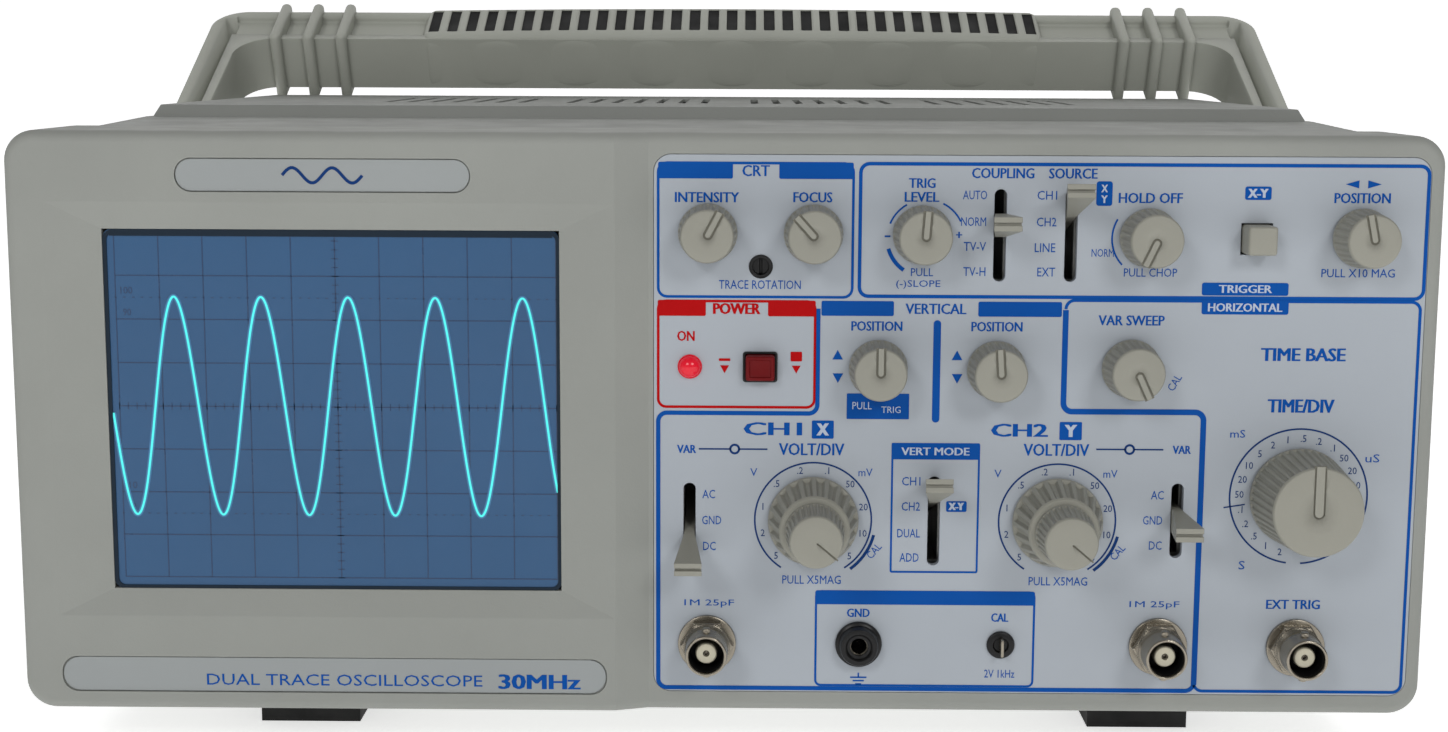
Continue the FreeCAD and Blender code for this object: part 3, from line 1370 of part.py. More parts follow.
def coaxial_connector(x, z, face, towards):
    """A bayonet connector whose mouth points forward (-1) or backward (+1)."""
    def span(near, far):
        ends = (f"{face} + ({towards}) * ({near})", f"{face} + ({towards}) * ({far})")
        return ends if towards > 0 else (ends[1], ends[0])

    barrel = rod(x, span("0", "barrel_long"), z, "barrel_radius")
    washer = rod(x, span("gap", "1"), z, "barrel_washer")
    nut = hexagon(x, span("0.9", "2.8"), z)
    tail = rod(x, span("-12", "0.5"), z, "barrel_radius - 0.1")
    back_nut = hexagon(x, span("-(web_back + sheet + 3.2)", "-(web_back + sheet + 0.3)"), z)
    lugs = rod(x, f"{face} + ({towards}) * (barrel_long - 3.5)", (f"{z} - 5.7", f"{z} + 5.7"), "1")
    mouth = rod(x, span("4.5", "barrel_long + 1"), z, "barrel_bore")
    shell = remove(join(barrel, washer, nut, tail, back_nut, lugs), mouth)
    insulator = rod(x, span("4.6", "barrel_long - 2.5"), z, "2.35")
    pin_hole = rod(x, span("6", "barrel_long"), z, "0.7")
    return [shell, remove(insulator, pin_hole)]


def hexagon(x, y, z):
    prism = doc.addObject("Part::Prism", "nut")
    prism.Polygon = 6
    bind(prism, "Circumradius", "barrel_nut")
    bind(prism, "Height", f"({y[1]}) - ({y[0]})")
    bind_place(prism, x, y[0], z, BACKWARD)
    return prism


def make_bnc_connectors():
    """Three inputs on the front and two outlets at the back."""
    solids = []
    for spot in COAXIAL_PLUGS:
        solids += coaxial_connector(across_of(spot), up_of(spot), "face_y", -1)
    for x, z in rear_hole_centres():
        solids += coaxial_connector(x, z, "rear_panel_back", 1)
    keep("bnc_connectors", group(*solids))


def make_ground_jack():
    x, z = across_of("ground"), up_of("ground")
    collar = taper(x, (behind("-jack_long"), behind("-gap")), z, "jack_radius - 0.6", "jack_radius")
    body = rod(x, (behind(-1), behind(14)), z, "4")
    bore = rod(x, (behind("-jack_long - 1"), behind(12)), z, "jack_bore")
    keep("ground_jack", remove(join(collar, body), bore))


def make_cal_terminal():
    """Calibrator outlet: an upright metal loop on a round insulator."""
    x, z = across_of("cal"), up_of("cal")
    disc = rod(x, (behind(-0.9), behind("-gap")), z, "3.3")
    stub = rod(x, (behind(-0.5), behind(10)), z, "2.4")
    loop = block((across_of("cal", "-0.5"), across_of("cal", "0.5")), (behind(-4.4), behind(-0.7)),
                 (up_of("cal", "-2.3"), up_of("cal", "2.3")))
    eye = rod((across_of("cal", "-2"), across_of("cal", "2")), behind(-2.6), z, "1")
    keep("cal_terminal", join(disc, stub, remove(loop, eye)))


def make_power_led():
    """Round-nosed lamp."""
    x, z = across_of("lamp"), up_of("lamp")
    stem = rod(x, (behind("-led_radius"), behind(9)), z, "led_radius")
    domed = doc.addObject("Part::Fillet", "dome")
    domed.Base = stem
    doc.recompute()
    front = size_of("face_y") - size_of("led_radius")
    radius = size_of("led_radius") * 0.9
    domed.Edges = [(index, radius, radius) for index, edge in enumerate(stem.Shape.Edges, 1)
                   if abs(edge.CenterOfMass.y - front) < 0.1]
    keep("power_led", domed)


def make_mains_inlet():
    """Three-pin inlet with its fuse drawer below, set in the rear panel."""
    back = "rear_panel_back"

    def inside(margin, low, high):
        """Across and up spans inside the flange."""
        return ((f"inlet_x - inlet_half + {margin}", f"inlet_x + inlet_half - {margin}"),
                (f"mid_up + inlet_low + {low}", f"mid_up + inlet_high - {high}"))

    across, up = inside(0, 0, 0)
    flange = block(across, (f"{back} + gap", f"{back} + 2.5"), up)
    across, up = inside(4, 4, 4)
    can = block(across, (f"{back} - 22", f"{back} + 1"), up)
    across, up = inside(6, 15, 6)
    well = block(across, (f"{back} - 16", f"{back} + 4"), up)
    across, up = inside(9, 5, 25)
    drawer = block(across, (f"{back} + 2", f"{back} + 3.4"), up)
    pins = []
    for shift, low in ((-7, 21), (0, 24), (7, 21)):
        x, z = f"inlet_x + {shift}", f"mid_up + inlet_low + {low}"
        pins.append(block((f"{x} - 1", f"{x} + 1"), (f"{back} - 17", f"{back} - 2"),
                          (z, f"{z} + 4")))
    keep("mains_inlet", join(remove(join(flange, can), well), drawer, *pins))


# ------------------------------------------------------------------- handle

def place_handle(thing):
    """Lean a handle piece, built flat about its pivot, to its folded place."""
    bind_place(thing, "0", "face_y + pivot_back", "mid_up", FreeCAD.Rotation(V(1, 0, 0), 1))
    bind(thing, "Placement.Rotation.Angle", "handle_lean")


def make_handle_frame():
    """Two grooved arms on round hubs, joined by a bar with three collars a side."""
    outer = "arm_inner + arm_wide"
    across_channel = ("bar_near + bar_rim", "bar_far - bar_rim")
    channel_deep = ("arm_half - bar_groove", "arm_half + 1")
    bar = bar_between(f"-({outer})", outer, "arm_half", "bar_near", "bar_far")
    channel = block(("-arm_inner", "arm_inner"), across_channel, channel_deep)
    solids = [remove(bar, channel)]
    cuts = []
    for side in (-1, 1):
        arm = sorted_pair(side, f"{side} * ({outer})", f"{side} * arm_inner")
        solids.append(block(arm, ("0", "bar_far"), ("-arm_half", "arm_half")))
        hub = sorted_pair(side, f"{side} * (arm_inner + hub_wide)", f"{side} * arm_inner")
        solids.append(rod(hub, "0", "0", "hub_radius"))
        for step in range(3):
            middle = f"{side} * (collar_first + {step} * collar_pitch)"
            solids.append(bar_between(f"{middle} - collar_wide / 2", f"{middle} + collar_wide / 2",
                                      "arm_half + collar_proud", "bar_near - collar_proud",
                                      "bar_far + collar_proud"))
        groove = sorted_pair(side, f"{side} * ({outer} - groove_flange)",
                             f"{side} * ({outer} - groove_flange - groove_wide)")
        cuts.append(block(groove, ("hub_radius + 4", "bar_far - 5"),
                          ("-arm_half + groove_floor", "arm_half + 2")))
        turn = sorted_pair(side, f"{side} * ({outer} - groove_flange)", f"{side} * (arm_inner - 1)")
        cuts.append(block(turn, across_channel, channel_deep))
        bore = sorted_pair(side, f"{side} * (arm_inner + 9.5)", f"{side} * (arm_inner - 1)")
        cuts.append(rod(bore, "0", "0", "hub_bore"))
    whole = join(*solids)
    cuts += grip_recess()
    rounded = doc.addObject("Part::Fillet", "handle_round")
    rounded.Base = whole
    doc.recompute()
    edge_x = size_of("arm_inner") + size_of("arm_wide")
    far = size_of("bar_far")
    rounded.Edges = [(index, 8, 8) for index, edge in enumerate(whole.Shape.Edges, 1)
                     if runs_along(edge, 2) and abs(abs(edge.CenterOfMass.x) - edge_x) < 0.1
                     and abs(edge.CenterOfMass.y - far) < 0.1]
    frame = keep("handle_frame", remove(rounded, *cuts))
    place_handle(frame)


def bar_between(left, right, half, near, far):
    return block((left, right), (near, far), (f"-({half})", half))


def grip_recess():
    """The bar is thinner inside the grip: four cuts leave its core."""
    span = ("-grip_half - gap", "grip_half + gap")
    middle = "(bar_near + bar_far) / 2"
    return [
        block(span, ("bar_near - 1", f"{middle} - grip_core"), ("-arm_half - 1", "arm_half + 1")),
        block(span, (f"{middle} + grip_core", "bar_far + 1"), ("-arm_half - 1", "arm_half + 1")),
        block(span, ("bar_near - 1", "bar_far + 1"), ("-arm_half - 1", "-grip_core")),
        block(span, ("bar_near - 1", "bar_far + 1"), ("grip_core", "arm_half + 1")),
    ]


def make_handle_grip():
    """Moulded sleeve round the bar: slots on one face, finger hollows on the other."""
    middle = "(bar_near + bar_far) / 2"
    body = block(("-grip_half", "grip_half"),
                 (f"{middle} - grip_near", f"{middle} + grip_far"), ("-grip_under", "grip_over"))
    core = block(("-grip_half - 1", "grip_half + 1"),
                 (f"{middle} - grip_core - gap", f"{middle} + grip_core + gap"),
                 ("-grip_core - gap", "grip_core + gap"))
    cuts = [core]
    for step in range(-16, 17):
        x = f"{step} * grip_slot_pitch"
        cuts.append(block((f"{x} - grip_slot_wide / 2", f"{x} + grip_slot_wide / 2"),
                          (f"{middle} - grip_near + 4", f"{middle} + grip_far - 2.5"),
                          ("grip_over - grip_slot_deep", "grip_over + 1")))
    for step in range(-3, 3):
        x = f"({step} + 0.5) * finger_pitch"
        cuts.append(rod(x, (f"{middle} - grip_near - 1", f"{middle} + grip_far + 1"),
                        "-grip_under - finger_radius + finger_deep", "finger_radius"))
    grip = keep("handle_grip", remove(body, *cuts))
    place_handle(grip)


def make_handle_pivots():
    """Fixed bosses on the sides of the case, each with the pin its hub turns on."""
    pieces = []
    for side in (-1, 1):
        disc = sorted_pair(side, f"{side} * (arm_inner - 0.2)", f"{side} * (cover_half + gap)")
        pin = sorted_pair(side, f"{side} * (arm_inner + 9)", f"{side} * (arm_inner - 1)")
        pieces.append(join(rod(disc, "face_y + pivot_back", "mid_up", "20"),
                           rod(pin, "face_y + pivot_back", "mid_up", "pin_radius")))
    keep("handle_pivots", group(*pieces))


# --------------------------------------------------------------------- build

def build_all():
    fill_sheet()
    make_front_bezel()
    make_control_panel()
    make_front_chassis()
    make_top_cover()
    make_bottom_cover()
    make_rear_panel()
    make_chassis_rails()
    make_feet()
    make_cord_wraps()
    make_case_screws()
    make_screen_filter()
    make_crt_tube()
    make_crt_shield()
    make_crt_mount()
    make_crt_socket()
    make_main_board()
    make_board_components()
    make_control_board()
    make_power_supply()
    make_power_transformer()
    make_high_voltage_module()
    make_pot_bodies()
    make_rotary_switches()
    make_panel_switches()
    make_small_knobs()
    make_range_knobs()
    make_time_div_knob()
    make_levers()
    make_power_button()
    make_xy_key()
    make_rotation_trimmer()
    make_bnc_connectors()
    make_ground_jack()
    make_cal_terminal()
    make_power_led()
    make_mains_inlet()
    make_handle_frame()
    make_handle_grip()
    make_handle_pivots()
    doc.recompute()


def check_all():
    """Stop on any object that failed or any sub-part without a sound shape."""
    for thing in doc.Objects:
        if "Invalid" in thing.State or "Error" in thing.State:
            raise RuntimeError(f"{thing.Name} ({thing.Label}) failed: {thing.State}")
    for node in nodes:
        if node.Shape.isNull() or not node.Shape.isValid() or not node.Shape.Solids:
            raise RuntimeError(f"{node.Label}: shape is not sound")


def export_all():
    os.makedirs("parts", exist_ok=True)
    for node in nodes:
        node.Shape.exportStep(os.path.join("parts", f"{node.Label}.step"))
    print(f"{len(nodes)} sub-parts, {sum(len(node.Shape.Solids) for node in nodes)} solids")


build_all()
check_all()
export_all()
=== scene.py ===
import math

import bmesh
import bpy
from mathutils import Matrix, Vector


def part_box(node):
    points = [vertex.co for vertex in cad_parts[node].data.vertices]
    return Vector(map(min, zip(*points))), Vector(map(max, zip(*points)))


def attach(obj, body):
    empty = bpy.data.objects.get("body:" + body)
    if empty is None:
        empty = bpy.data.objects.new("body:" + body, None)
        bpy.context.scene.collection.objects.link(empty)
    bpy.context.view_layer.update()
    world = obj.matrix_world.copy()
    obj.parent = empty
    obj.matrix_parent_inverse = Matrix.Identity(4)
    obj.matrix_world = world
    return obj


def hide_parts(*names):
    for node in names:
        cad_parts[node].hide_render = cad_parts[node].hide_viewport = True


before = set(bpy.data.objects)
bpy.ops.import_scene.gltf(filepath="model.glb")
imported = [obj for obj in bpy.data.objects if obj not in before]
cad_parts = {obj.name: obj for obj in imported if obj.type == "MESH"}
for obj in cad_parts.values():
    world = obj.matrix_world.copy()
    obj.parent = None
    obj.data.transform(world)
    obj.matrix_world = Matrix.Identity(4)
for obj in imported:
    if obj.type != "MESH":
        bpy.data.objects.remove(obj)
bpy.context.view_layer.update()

scene = bpy.context.scene
MM = 0.001

panel_low, panel_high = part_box("control_panel")
FACE = panel_low.y                              # front plane of the control panel
MIDDLE = (panel_low.z + panel_high.z) / 2       # height that panel positions are counted from


# ------------------------ materials

def node(tree, kind, **values):
    """A new shader node. A key that names an input sets its default; others set attributes."""
    made = tree.nodes.new(kind)
    for key, value in values.items():
        if key in made.inputs:
            made.inputs[key].default_value = value
        else:
            setattr(made, key, value)
    return made


def mix_colours(tree, factor, first, second, blend="MIX"):
    """Colour out of a mix whose factor and colours are sockets or plain values."""
    mix = node(tree, "ShaderNodeMix", data_type="RGBA", blend_type=blend)
    for socket, value in zip((mix.inputs[0], mix.inputs[6], mix.inputs[7]), (factor, first, second)):
        if isinstance(value, bpy.types.NodeSocket):
            tree.links.new(value, socket)
        else:
            socket.default_value = value
    return mix.outputs[2]


def spread(tree, value, low_in, high_in, low_out, high_out):
    """value moved from one range to another, and clamped."""
    ranged = node(tree, "ShaderNodeMapRange")
    ranged.clamp = True
    tree.links.new(value, ranged.inputs["Value"])
    for key, number in zip(("From Min", "From Max", "To Min", "To Max"),
                           (low_in, high_in, low_out, high_out)):
        ranged.inputs[key].default_value = number
    return ranged.outputs[0]


def noise(tree, place, scale, detail=3.0, roughness=0.55):
    made = node(tree, "ShaderNodeTexNoise", Scale=scale, Detail=detail, Roughness=roughness)
    tree.links.new(place, made.inputs["Vector"])
    return made.outputs["Fac"]


def linear(red, green, blue):
    """A colour picked as sRGB 0-255, as the renderer wants it."""
    def channel(value):
        share = value / 255
        return share / 12.92 if share <= 0.04045 else ((share + 0.055) / 1.055) ** 2.4
    return (channel(red), channel(green), channel(blue), 1.0)


def finish(
    name, colour, rough=0.5, metal=0.0, drift=0.05, grain=0.0, grain_scale=1800.0,
    soft_edge=0.0003, edge=0.0, corner_shade=0.0, coat=0.0, glow=None, glow_strength=0.0, streak=None,
    shine=0.5,
):
    """A moulded, painted or metal surface: colour drift, rubbed edges, painted shade in corners,
    grain.
    """
    mat = bpy.data.materials.new(name)
    mat.use_nodes = True
    tree = mat.node_tree
    shader = tree.nodes["Principled BSDF"]
    place = node(tree, "ShaderNodeTexCoord").outputs["Object"]
    fine_place = place
    if streak:
        stretch = node(tree, "ShaderNodeMapping")
        stretch.inputs["Scale"].default_value = streak
        tree.links.new(place, stretch.inputs["Vector"])
        fine_place = stretch.outputs[0]
    base = linear(*colour)
    darker = tuple(c * (1 - drift) for c in base[:3]) + (1.0,)
    lighter = tuple(min(1.0, c * (1 + drift)) for c in base[:3]) + (1.0,)
    broad = noise(tree, place, 22.0, 4.0)
    shade = mix_colours(tree, spread(tree, broad, 0.35, 0.65, 0.0, 1.0), darker, lighter)
    speck = noise(tree, fine_place, grain_scale * 0.5, 2.0)
    shade = mix_colours(tree, spread(tree, speck, 0.3, 0.7, 0.0, drift * 1.5), shade, darker)
    # Painted shade: the colour darkens where ambient occlusion finds corners and recesses.
    if corner_shade:
        occlusion = node(tree, "ShaderNodeAmbientOcclusion", samples=4)
        occlusion.inputs["Distance"].default_value = 0.004
        corner_shade_amount = spread(tree, occlusion.outputs["AO"], 0.35, 0.85, corner_shade, 0.0)
        shade = mix_colours(tree, corner_shade_amount, shade, tuple(c * 0.35 for c in base[:3]) + (1.0,))
    rounding = None
    if soft_edge:
        rounding = node(tree, "ShaderNodeBevel", samples=4)
        rounding.inputs["Radius"].default_value = soft_edge
    if edge:
        surface = node(tree, "ShaderNodeNewGeometry")
        turn = node(tree, "ShaderNodeVectorMath", operation="DOT_PRODUCT")
        wide = node(tree, "ShaderNodeBevel", samples=4)
        wide.inputs["Radius"].default_value = 0.0007
        tree.links.new(surface.outputs["Normal"], turn.inputs[0])
        tree.links.new(wide.outputs[0], turn.inputs[1])
        rubbed = spread(tree, turn.outputs["Value"], 0.99, 0.9, 0.0, 1.0)
        patch = spread(tree, noise(tree, place, 160.0, 3.0), 0.42, 0.6, 0.0, edge)
        both = node(tree, "ShaderNodeMath", operation="MULTIPLY")
        tree.links.new(rubbed, both.inputs[0])
        tree.links.new(patch, both.inputs[1])
        worn = tuple(min(1.0, c * 1.5 + 0.04) for c in base[:3]) + (1.0,)
        shade = mix_colours(tree, both.outputs[0], shade, worn)
    tree.links.new(shade, shader.inputs["Base Color"])
    gloss = spread(tree, noise(tree, place, 90.0, 3.0), 0.3, 0.7,
                   rough * 0.85, min(1.0, rough * 1.15))
    tree.links.new(gloss, shader.inputs["Roughness"])
    shader.inputs["Metallic"].default_value = metal
    shader.inputs["Specular IOR Level"].default_value = shine
    if coat:
        shader.inputs["Coat Weight"].default_value = coat
        shader.inputs["Coat Roughness"].default_value = 0.12
    if grain:
        bump = node(tree, "ShaderNodeBump")
        bump.inputs["Strength"].default_value = grain
        bump.inputs["Distance"].default_value = 0.0001
        tree.links.new(noise(tree, fine_place, grain_scale, 2.0), bump.inputs["Height"])
        if rounding:
            tree.links.new(rounding.outputs[0], bump.inputs["Normal"])
        tree.links.new(bump.outputs[0], shader.inputs["Normal"])
    elif rounding:
        tree.links.new(rounding.outputs[0], shader.inputs["Normal"])
    if glow:
        shader.inputs["Emission Color"].default_value = linear(*glow)
        shader.inputs["Emission Strength"].default_value = glow_strength
    return mat


def plain_name(material):
    return material.name.split(".")[0]


FINISHES = {plain_name(mat): mat for mat in (
    finish("case_plastic", (140, 142, 137), 0.6, drift=0.03, grain=0.3, edge=0.2, corner_shade=0.25,
           shine=0.3),
    finish("case_paint", (138, 140, 136), 0.6, drift=0.03, grain=0.5, grain_scale=1300, edge=0.2,
           corner_shade=0.25, shine=0.25),
    finish("panel_paint", (160, 166, 173), 0.45, drift=0.02, grain=0.12, corner_shade=0.15, shine=0.3),
    finish("screen_filter", (38, 79, 118), 0.35, drift=0.04, soft_edge=0.0, coat=0.2, shine=0.3),
    finish("tube_glass", (60, 66, 70), 0.15, drift=0.05, coat=1.0),
    finish("shield_steel", (140, 142, 146), 0.35, 1.0, grain=0.1, streak=(1, 40, 1)),
    finish("bracket_steel", (168, 168, 165), 0.4, 1.0, grain=0.1),
    finish("screw_steel", (120, 120, 122), 0.3, 1.0, corner_shade=0.3),
    finish("core_steel", (70, 70, 74), 0.5, 1.0, streak=(1, 1, 30)),
    finish("circuit_board", (24, 86, 50), 0.4, drift=0.12, grain=0.1),
    finish("component_plastic", (46, 46, 50), 0.45, drift=0.1),
    finish("dark_plastic", (9, 9, 10), 0.35, drift=0.1, grain=0.1, edge=0.2, shine=0.3),
    finish("foot_rubber", (24, 24, 24), 0.8, drift=0.1, grain=0.4),
    finish("nickel", (150, 143, 130), 0.27, 1.0, drift=0.08, grain=0.05, corner_shade=0.6),
    finish("lamp_red", (190, 10, 34), 0.25, drift=0.05, glow=(255, 20, 50), glow_strength=0.22,
           coat=0.3, shine=0.3),
    finish("button_red", (100, 4, 8), 0.5, drift=0.06, grain=0.1, edge=0.15, shine=0.15),
    finish("handle_plastic", (172, 174, 165), 0.55, drift=0.04, grain=0.35, edge=0.2, corner_shade=0.3,
           shine=0.35),
    finish("control_plastic", (140, 139, 129), 0.5, drift=0.04, grain=0.25, edge=0.15, corner_shade=0.1,
           shine=0.35),
    finish("shaft_aluminium", (170, 170, 168), 0.3, 1.0, streak=(1, 1, 20)),
)}


def ink(name, colour, rough=0.55, shine=0.1, drift=0.06):
    return finish(f"ink_{name}", colour, rough, drift=drift, soft_edge=0.0, shine=shine)


INKS = {
    "blue": ink("blue", (0, 72, 150)),
    "navy": ink("navy", (14, 50, 104)),
    "red": ink("red", (168, 0, 4)),
    "pale": ink("pale", (168, 178, 194), 0.45, 0.5, 0.04),
    "black": ink("black", (12, 12, 13), 0.6, 0.2),
    "graticule": ink("graticule", (24, 52, 88), 0.3, 0.5, 0.04),
    # Painted shadow: the deep ink darkens the screen round the edge of its window.
    "deep": finish("screen_edge_shade", (16, 32, 46), 0.5, drift=0.05, soft_edge=0.0, shine=0.2),
    "ivory": finish("ivory_plastic", (196, 190, 168), 0.35, drift=0.05, corner_shade=0.4),
    "badge": finish("badge_plate", (146, 150, 150), 0.5, drift=0.02, grain=0.1, shine=0.2),
    "groove": finish("groove_shadow", (106, 104, 92), 0.6, drift=0.05, soft_edge=0.0),
}

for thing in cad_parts.values():
    for slot in thing.material_slots:
        base = plain_name(slot.material) if slot.material else ""
        if base in FINISHES:
            slot.material = FINISHES[base]


# ------------------------ meshes

def add_prism(mesh, points, front, back):
    """A closed solid from an outline of (x, z) points, between two Y planes."""
    near = [mesh.verts.new((x, front, z)) for x, z in points]
    far = [mesh.verts.new((x, back, z)) for x, z in points]
    count = len(points)
    mesh.faces.new(near)
    mesh.faces.new(list(reversed(far)))
    for index in range(count):
        after = (index + 1) % count
        mesh.faces.new((near[after], near[index], far[index], far[after]))


def add_stroke(mesh, points, width, front, back, closed=False):
    """A closed flat ribbon of one width along (x, z) points."""
    count = len(points)
    left, right = [], []
    for index, point in enumerate(points):
        before = points[(index - 1) % count] if closed or index else point
        after = points[(index + 1) % count] if closed or index < count - 1 else point
        first = Vector((point[0] - before[0], point[1] - before[1]))
        second = Vector((after[0] - point[0], after[1] - point[1]))
        if first.length < 1e-9:
            first = second
        if second.length < 1e-9:
            second = first
        first, second = first.normalized(), second.normalized()
        along = (first + second).normalized()
        reach = width / 2 / max(0.5, along.dot(first))
        side = Vector((-along.y, along.x)) * reach
        left.append((point[0] + side.x, point[1] + side.y))
        right.append((point[0] - side.x, point[1] - side.y))
    rings = [[mesh.verts.new((x, level, z)) for x, z in run]
             for level in (front, back) for run in (left, right)]
    near_left, near_right, far_left, far_right = rings
    for index in range(count if closed else count - 1):
        after = (index + 1) % count
        mesh.faces.new((near_left[index], near_left[after], near_right[after], near_right[index]))
        mesh.faces.new((far_left[after], far_left[index], far_right[index], far_right[after]))
        mesh.faces.new((near_left[after], near_left[index], far_left[index], far_left[after]))
        mesh.faces.new((near_right[index], near_right[after], far_right[after], far_right[index]))
    if not closed:
        for index in (0, -1):
            mesh.faces.new((near_left[index], near_right[index], far_right[index], far_left[index]))


def arc_points(x, z, radius, start, end, step=5.0):
    """Points on an arc, angles in degrees clockwise from straight up."""
    count = max(2, int(abs(end - start) / step) + 1)
    angles = [math.radians(start + (end - start) * index / (count - 1)) for index in range(count)]
    return [(x + radius * math.sin(a), z + radius * math.cos(a)) for a in angles]


def round_rectangle(left, low, right, high, radius):
    """Outline of a rectangle whose corners are rounded."""
    points = []
    for x, z, start in ((right - radius, high - radius, 0), (right - radius, low + radius, 90),
                        (left + radius, low + radius, 180), (left + radius, high - radius, 270)):
        points += arc_points(x, z, radius, start, start + 90, 18.0) if radius else [(x, z)]
    return points


def add_lathe(mesh, profile, segments, turn=Matrix.Identity(4), ribs=0, rib_deep=0.0, rib_fill=0.5):
    """A solid of revolution about Y. The profile is (y, radius) in millimetres.

    A third number is the share of the rib depth that is cut between the ribs there.
    """
    rings = []
    for y, radius, *share in profile:
        if radius == 0:
            rings.append([mesh.verts.new(turn @ Vector((0, y * MM, 0)))])
            continue
        ring = []
        for index in range(segments):
            angle = 2 * math.pi * index / segments
            cut = 0.0
            if ribs and any(share):
                phase = (index * ribs / segments) % 1.0
                cut = share[0] * rib_deep * min(1.0, max(0.0, (abs(phase - 0.5) * 2 - rib_fill) * 5))
            reach = (radius - cut) * MM
            ring.append(mesh.verts.new(
                turn @ Vector((reach * math.sin(angle), y * MM, reach * math.cos(angle)))))
        rings.append(ring)
    for first, second in zip(rings, rings[1:]):
        for index in range(segments):
            after = (index + 1) % segments
            if len(first) == 1:
                mesh.faces.new((first[0], second[index], second[after]))
            elif len(second) == 1:
                mesh.faces.new((first[index], second[0], first[after]))
            else:
                mesh.faces.new((first[index], second[index], second[after], first[after]))


def add_box(mesh, x, y, z, turn=Matrix.Identity(4), rounding=0.0, segments=3):
    """A box from three (low, high) pairs, with rounded edges."""
    part = bmesh.new()
    bmesh.ops.create_cube(part, size=1.0)
    for vert in part.verts:
        vert.co = Vector([low + (high - low) * (c + 0.5)
                          for c, (low, high) in zip(vert.co, (x, y, z))])
    if rounding:
        bmesh.ops.bevel(part, geom=part.edges[:], offset=rounding, segments=segments,
                        profile=0.5, affect="EDGES")
    part.transform(turn)
    pour(part, mesh)


def pour(part, mesh):
    """Move everything in one bmesh into another."""
    loose = bpy.data.meshes.new("loose")
    part.to_mesh(loose)
    part.free()
    mesh.from_mesh(loose)
    bpy.data.meshes.remove(loose)


def settle(name, mesh, material, smooth=35.0):
    """An object from a finished bmesh, shaded smooth below an angle in degrees."""
    bmesh.ops.recalc_face_normals(mesh, faces=mesh.faces[:])
    data = bpy.data.meshes.new(name)
    mesh.to_mesh(data)
    mesh.free()
    thing = bpy.data.objects.new(name, data)
    scene.collection.objects.link(thing)
    data.materials.append(material)
    data.shade_smooth()
    data.set_sharp_from_angle(angle=math.radians(smooth))
    return thing


def boolean(thing, tool, operation="DIFFERENCE"):
    """Apply a Boolean with another object, which is then removed."""
    change = thing.modifiers.new("cut", "BOOLEAN")
    change.object = tool
    change.operation = operation
    change.solver = "EXACT"
    graph = bpy.context.evaluated_depsgraph_get()
    result = bpy.data.meshes.new_from_object(thing.evaluated_get(graph))
    thing.modifiers.clear()
    old = thing.data
    thing.data = result
    bpy.data.meshes.remove(old)
    bpy.data.objects.remove(tool)
    return thing


def around(middle, half):
    return middle - half, middle + half


def place_piece(thing, body, material_slot, *nodes):
    """Tie a piece to its body and hide the CAD nodes it stands for."""
    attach(thing, body)
    if nodes:
        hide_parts(*nodes)
    return thing


def turned_piece(name, profile, segments, turn, material, body, material_slot, *nodes, smooth=30.0):
    """A placed piece of revolution, sealed where its profile comes back to its start."""
    mesh = bmesh.new()
    add_lathe(mesh, profile, segments, turn)
    if profile[0] == profile[-1]:
        bmesh.ops.remove_doubles(mesh, verts=mesh.verts[:], dist=1e-7)
    return place_piece(settle(name, mesh, material, smooth), body, material_slot, *nodes)


# ------------------------ knobs

def knob_frame(name, turn_degrees):
    """Frame of a control: its own middle on the front plane, Y backwards, pointer up in it."""
    low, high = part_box(name)
    middle = Vector(((low.x + high.x) / 2, FACE, (low.z + high.z) / 2))
    return Matrix.Translation(middle) @ Matrix.Rotation(math.radians(turn_degrees), 4, "Y")


def knob_profile(back, front, base, tip, bore, bore_front, shaft):
    """Side view of a knob, millimetres in front of the panel as negative Y."""
    if bore:
        profile = [(-bore_front, 0), (-bore_front, bore), (-back, bore)]
    else:
        profile = [(2, 0), (2, shaft), (-back, shaft)]
    fall = (base - tip) / (front - back)
    profile += [(-back, base - 0.35), (-back - 0.1, base - 0.1), (-back - 0.35, base)]
    profile += [(-back - 1.0, base - 1.0 * fall), (-back - 1.25, base - 1.25 * fall, 1)]
    deep = front - back - 1.1
    profile += [(-back - deep * 0.5, base - deep * 0.5 * fall, 1)]
    profile += [(-front + 1.25, tip + 1.25 * fall, 1), (-front + 0.85, tip + 0.8 * fall)]
    profile += [(-front + 0.35, tip - 0.08), (-front + 0.1, tip - 0.28), (-front, tip - 0.6)]
    return profile + [(-front, tip * 0.5), (-front, 0)]


def pointer_outline(near, far, half):
    """Outline of a pointer: square at the rim, round towards the middle of the face."""
    points = [(-half, far), (half, far), (half, near)] + arc_points(0, near, half, 90, 270, 22.5)
    return [(x * MM, z * MM) for x, z in dict.fromkeys(points)]


def cut_pointer(knob, name, body, turn, front, near, far, outer, inner):
    """Sink a pointer into a knob's face: a slot, its floor darkened as painted shade, and a raised
    bar in it.
    """
    slot = bmesh.new()
    add_prism(slot, pointer_outline(near, far, outer / 2), (-front - 1) * MM, (-front + 0.45) * MM)
    slot.transform(turn)
    knob = boolean(knob, settle(f"{name}_cutter", slot, INKS["groove"]))
    # Painted shade: the slot's floor takes the darker groove_shadow colour.
    floor = bmesh.new()
    add_prism(floor, pointer_outline(near, far - 0.3, outer / 2 - 0.02), (-front + 0.4) * MM,
              (-front + 0.55) * MM)
    floor.transform(turn)
    place_piece(settle(f"{name}_groove", floor, INKS["groove"]), body, "control_plastic")
    if inner:
        bar = bmesh.new()
        add_prism(bar, pointer_outline(near, far - 0.35, inner / 2), (-front + 0.02) * MM,
                  (-front + 0.6) * MM)
        bar.transform(turn)
        place_piece(settle(f"{name}_pointer", bar, FINISHES["control_plastic"]), body,
                    "control_plastic")
    return knob


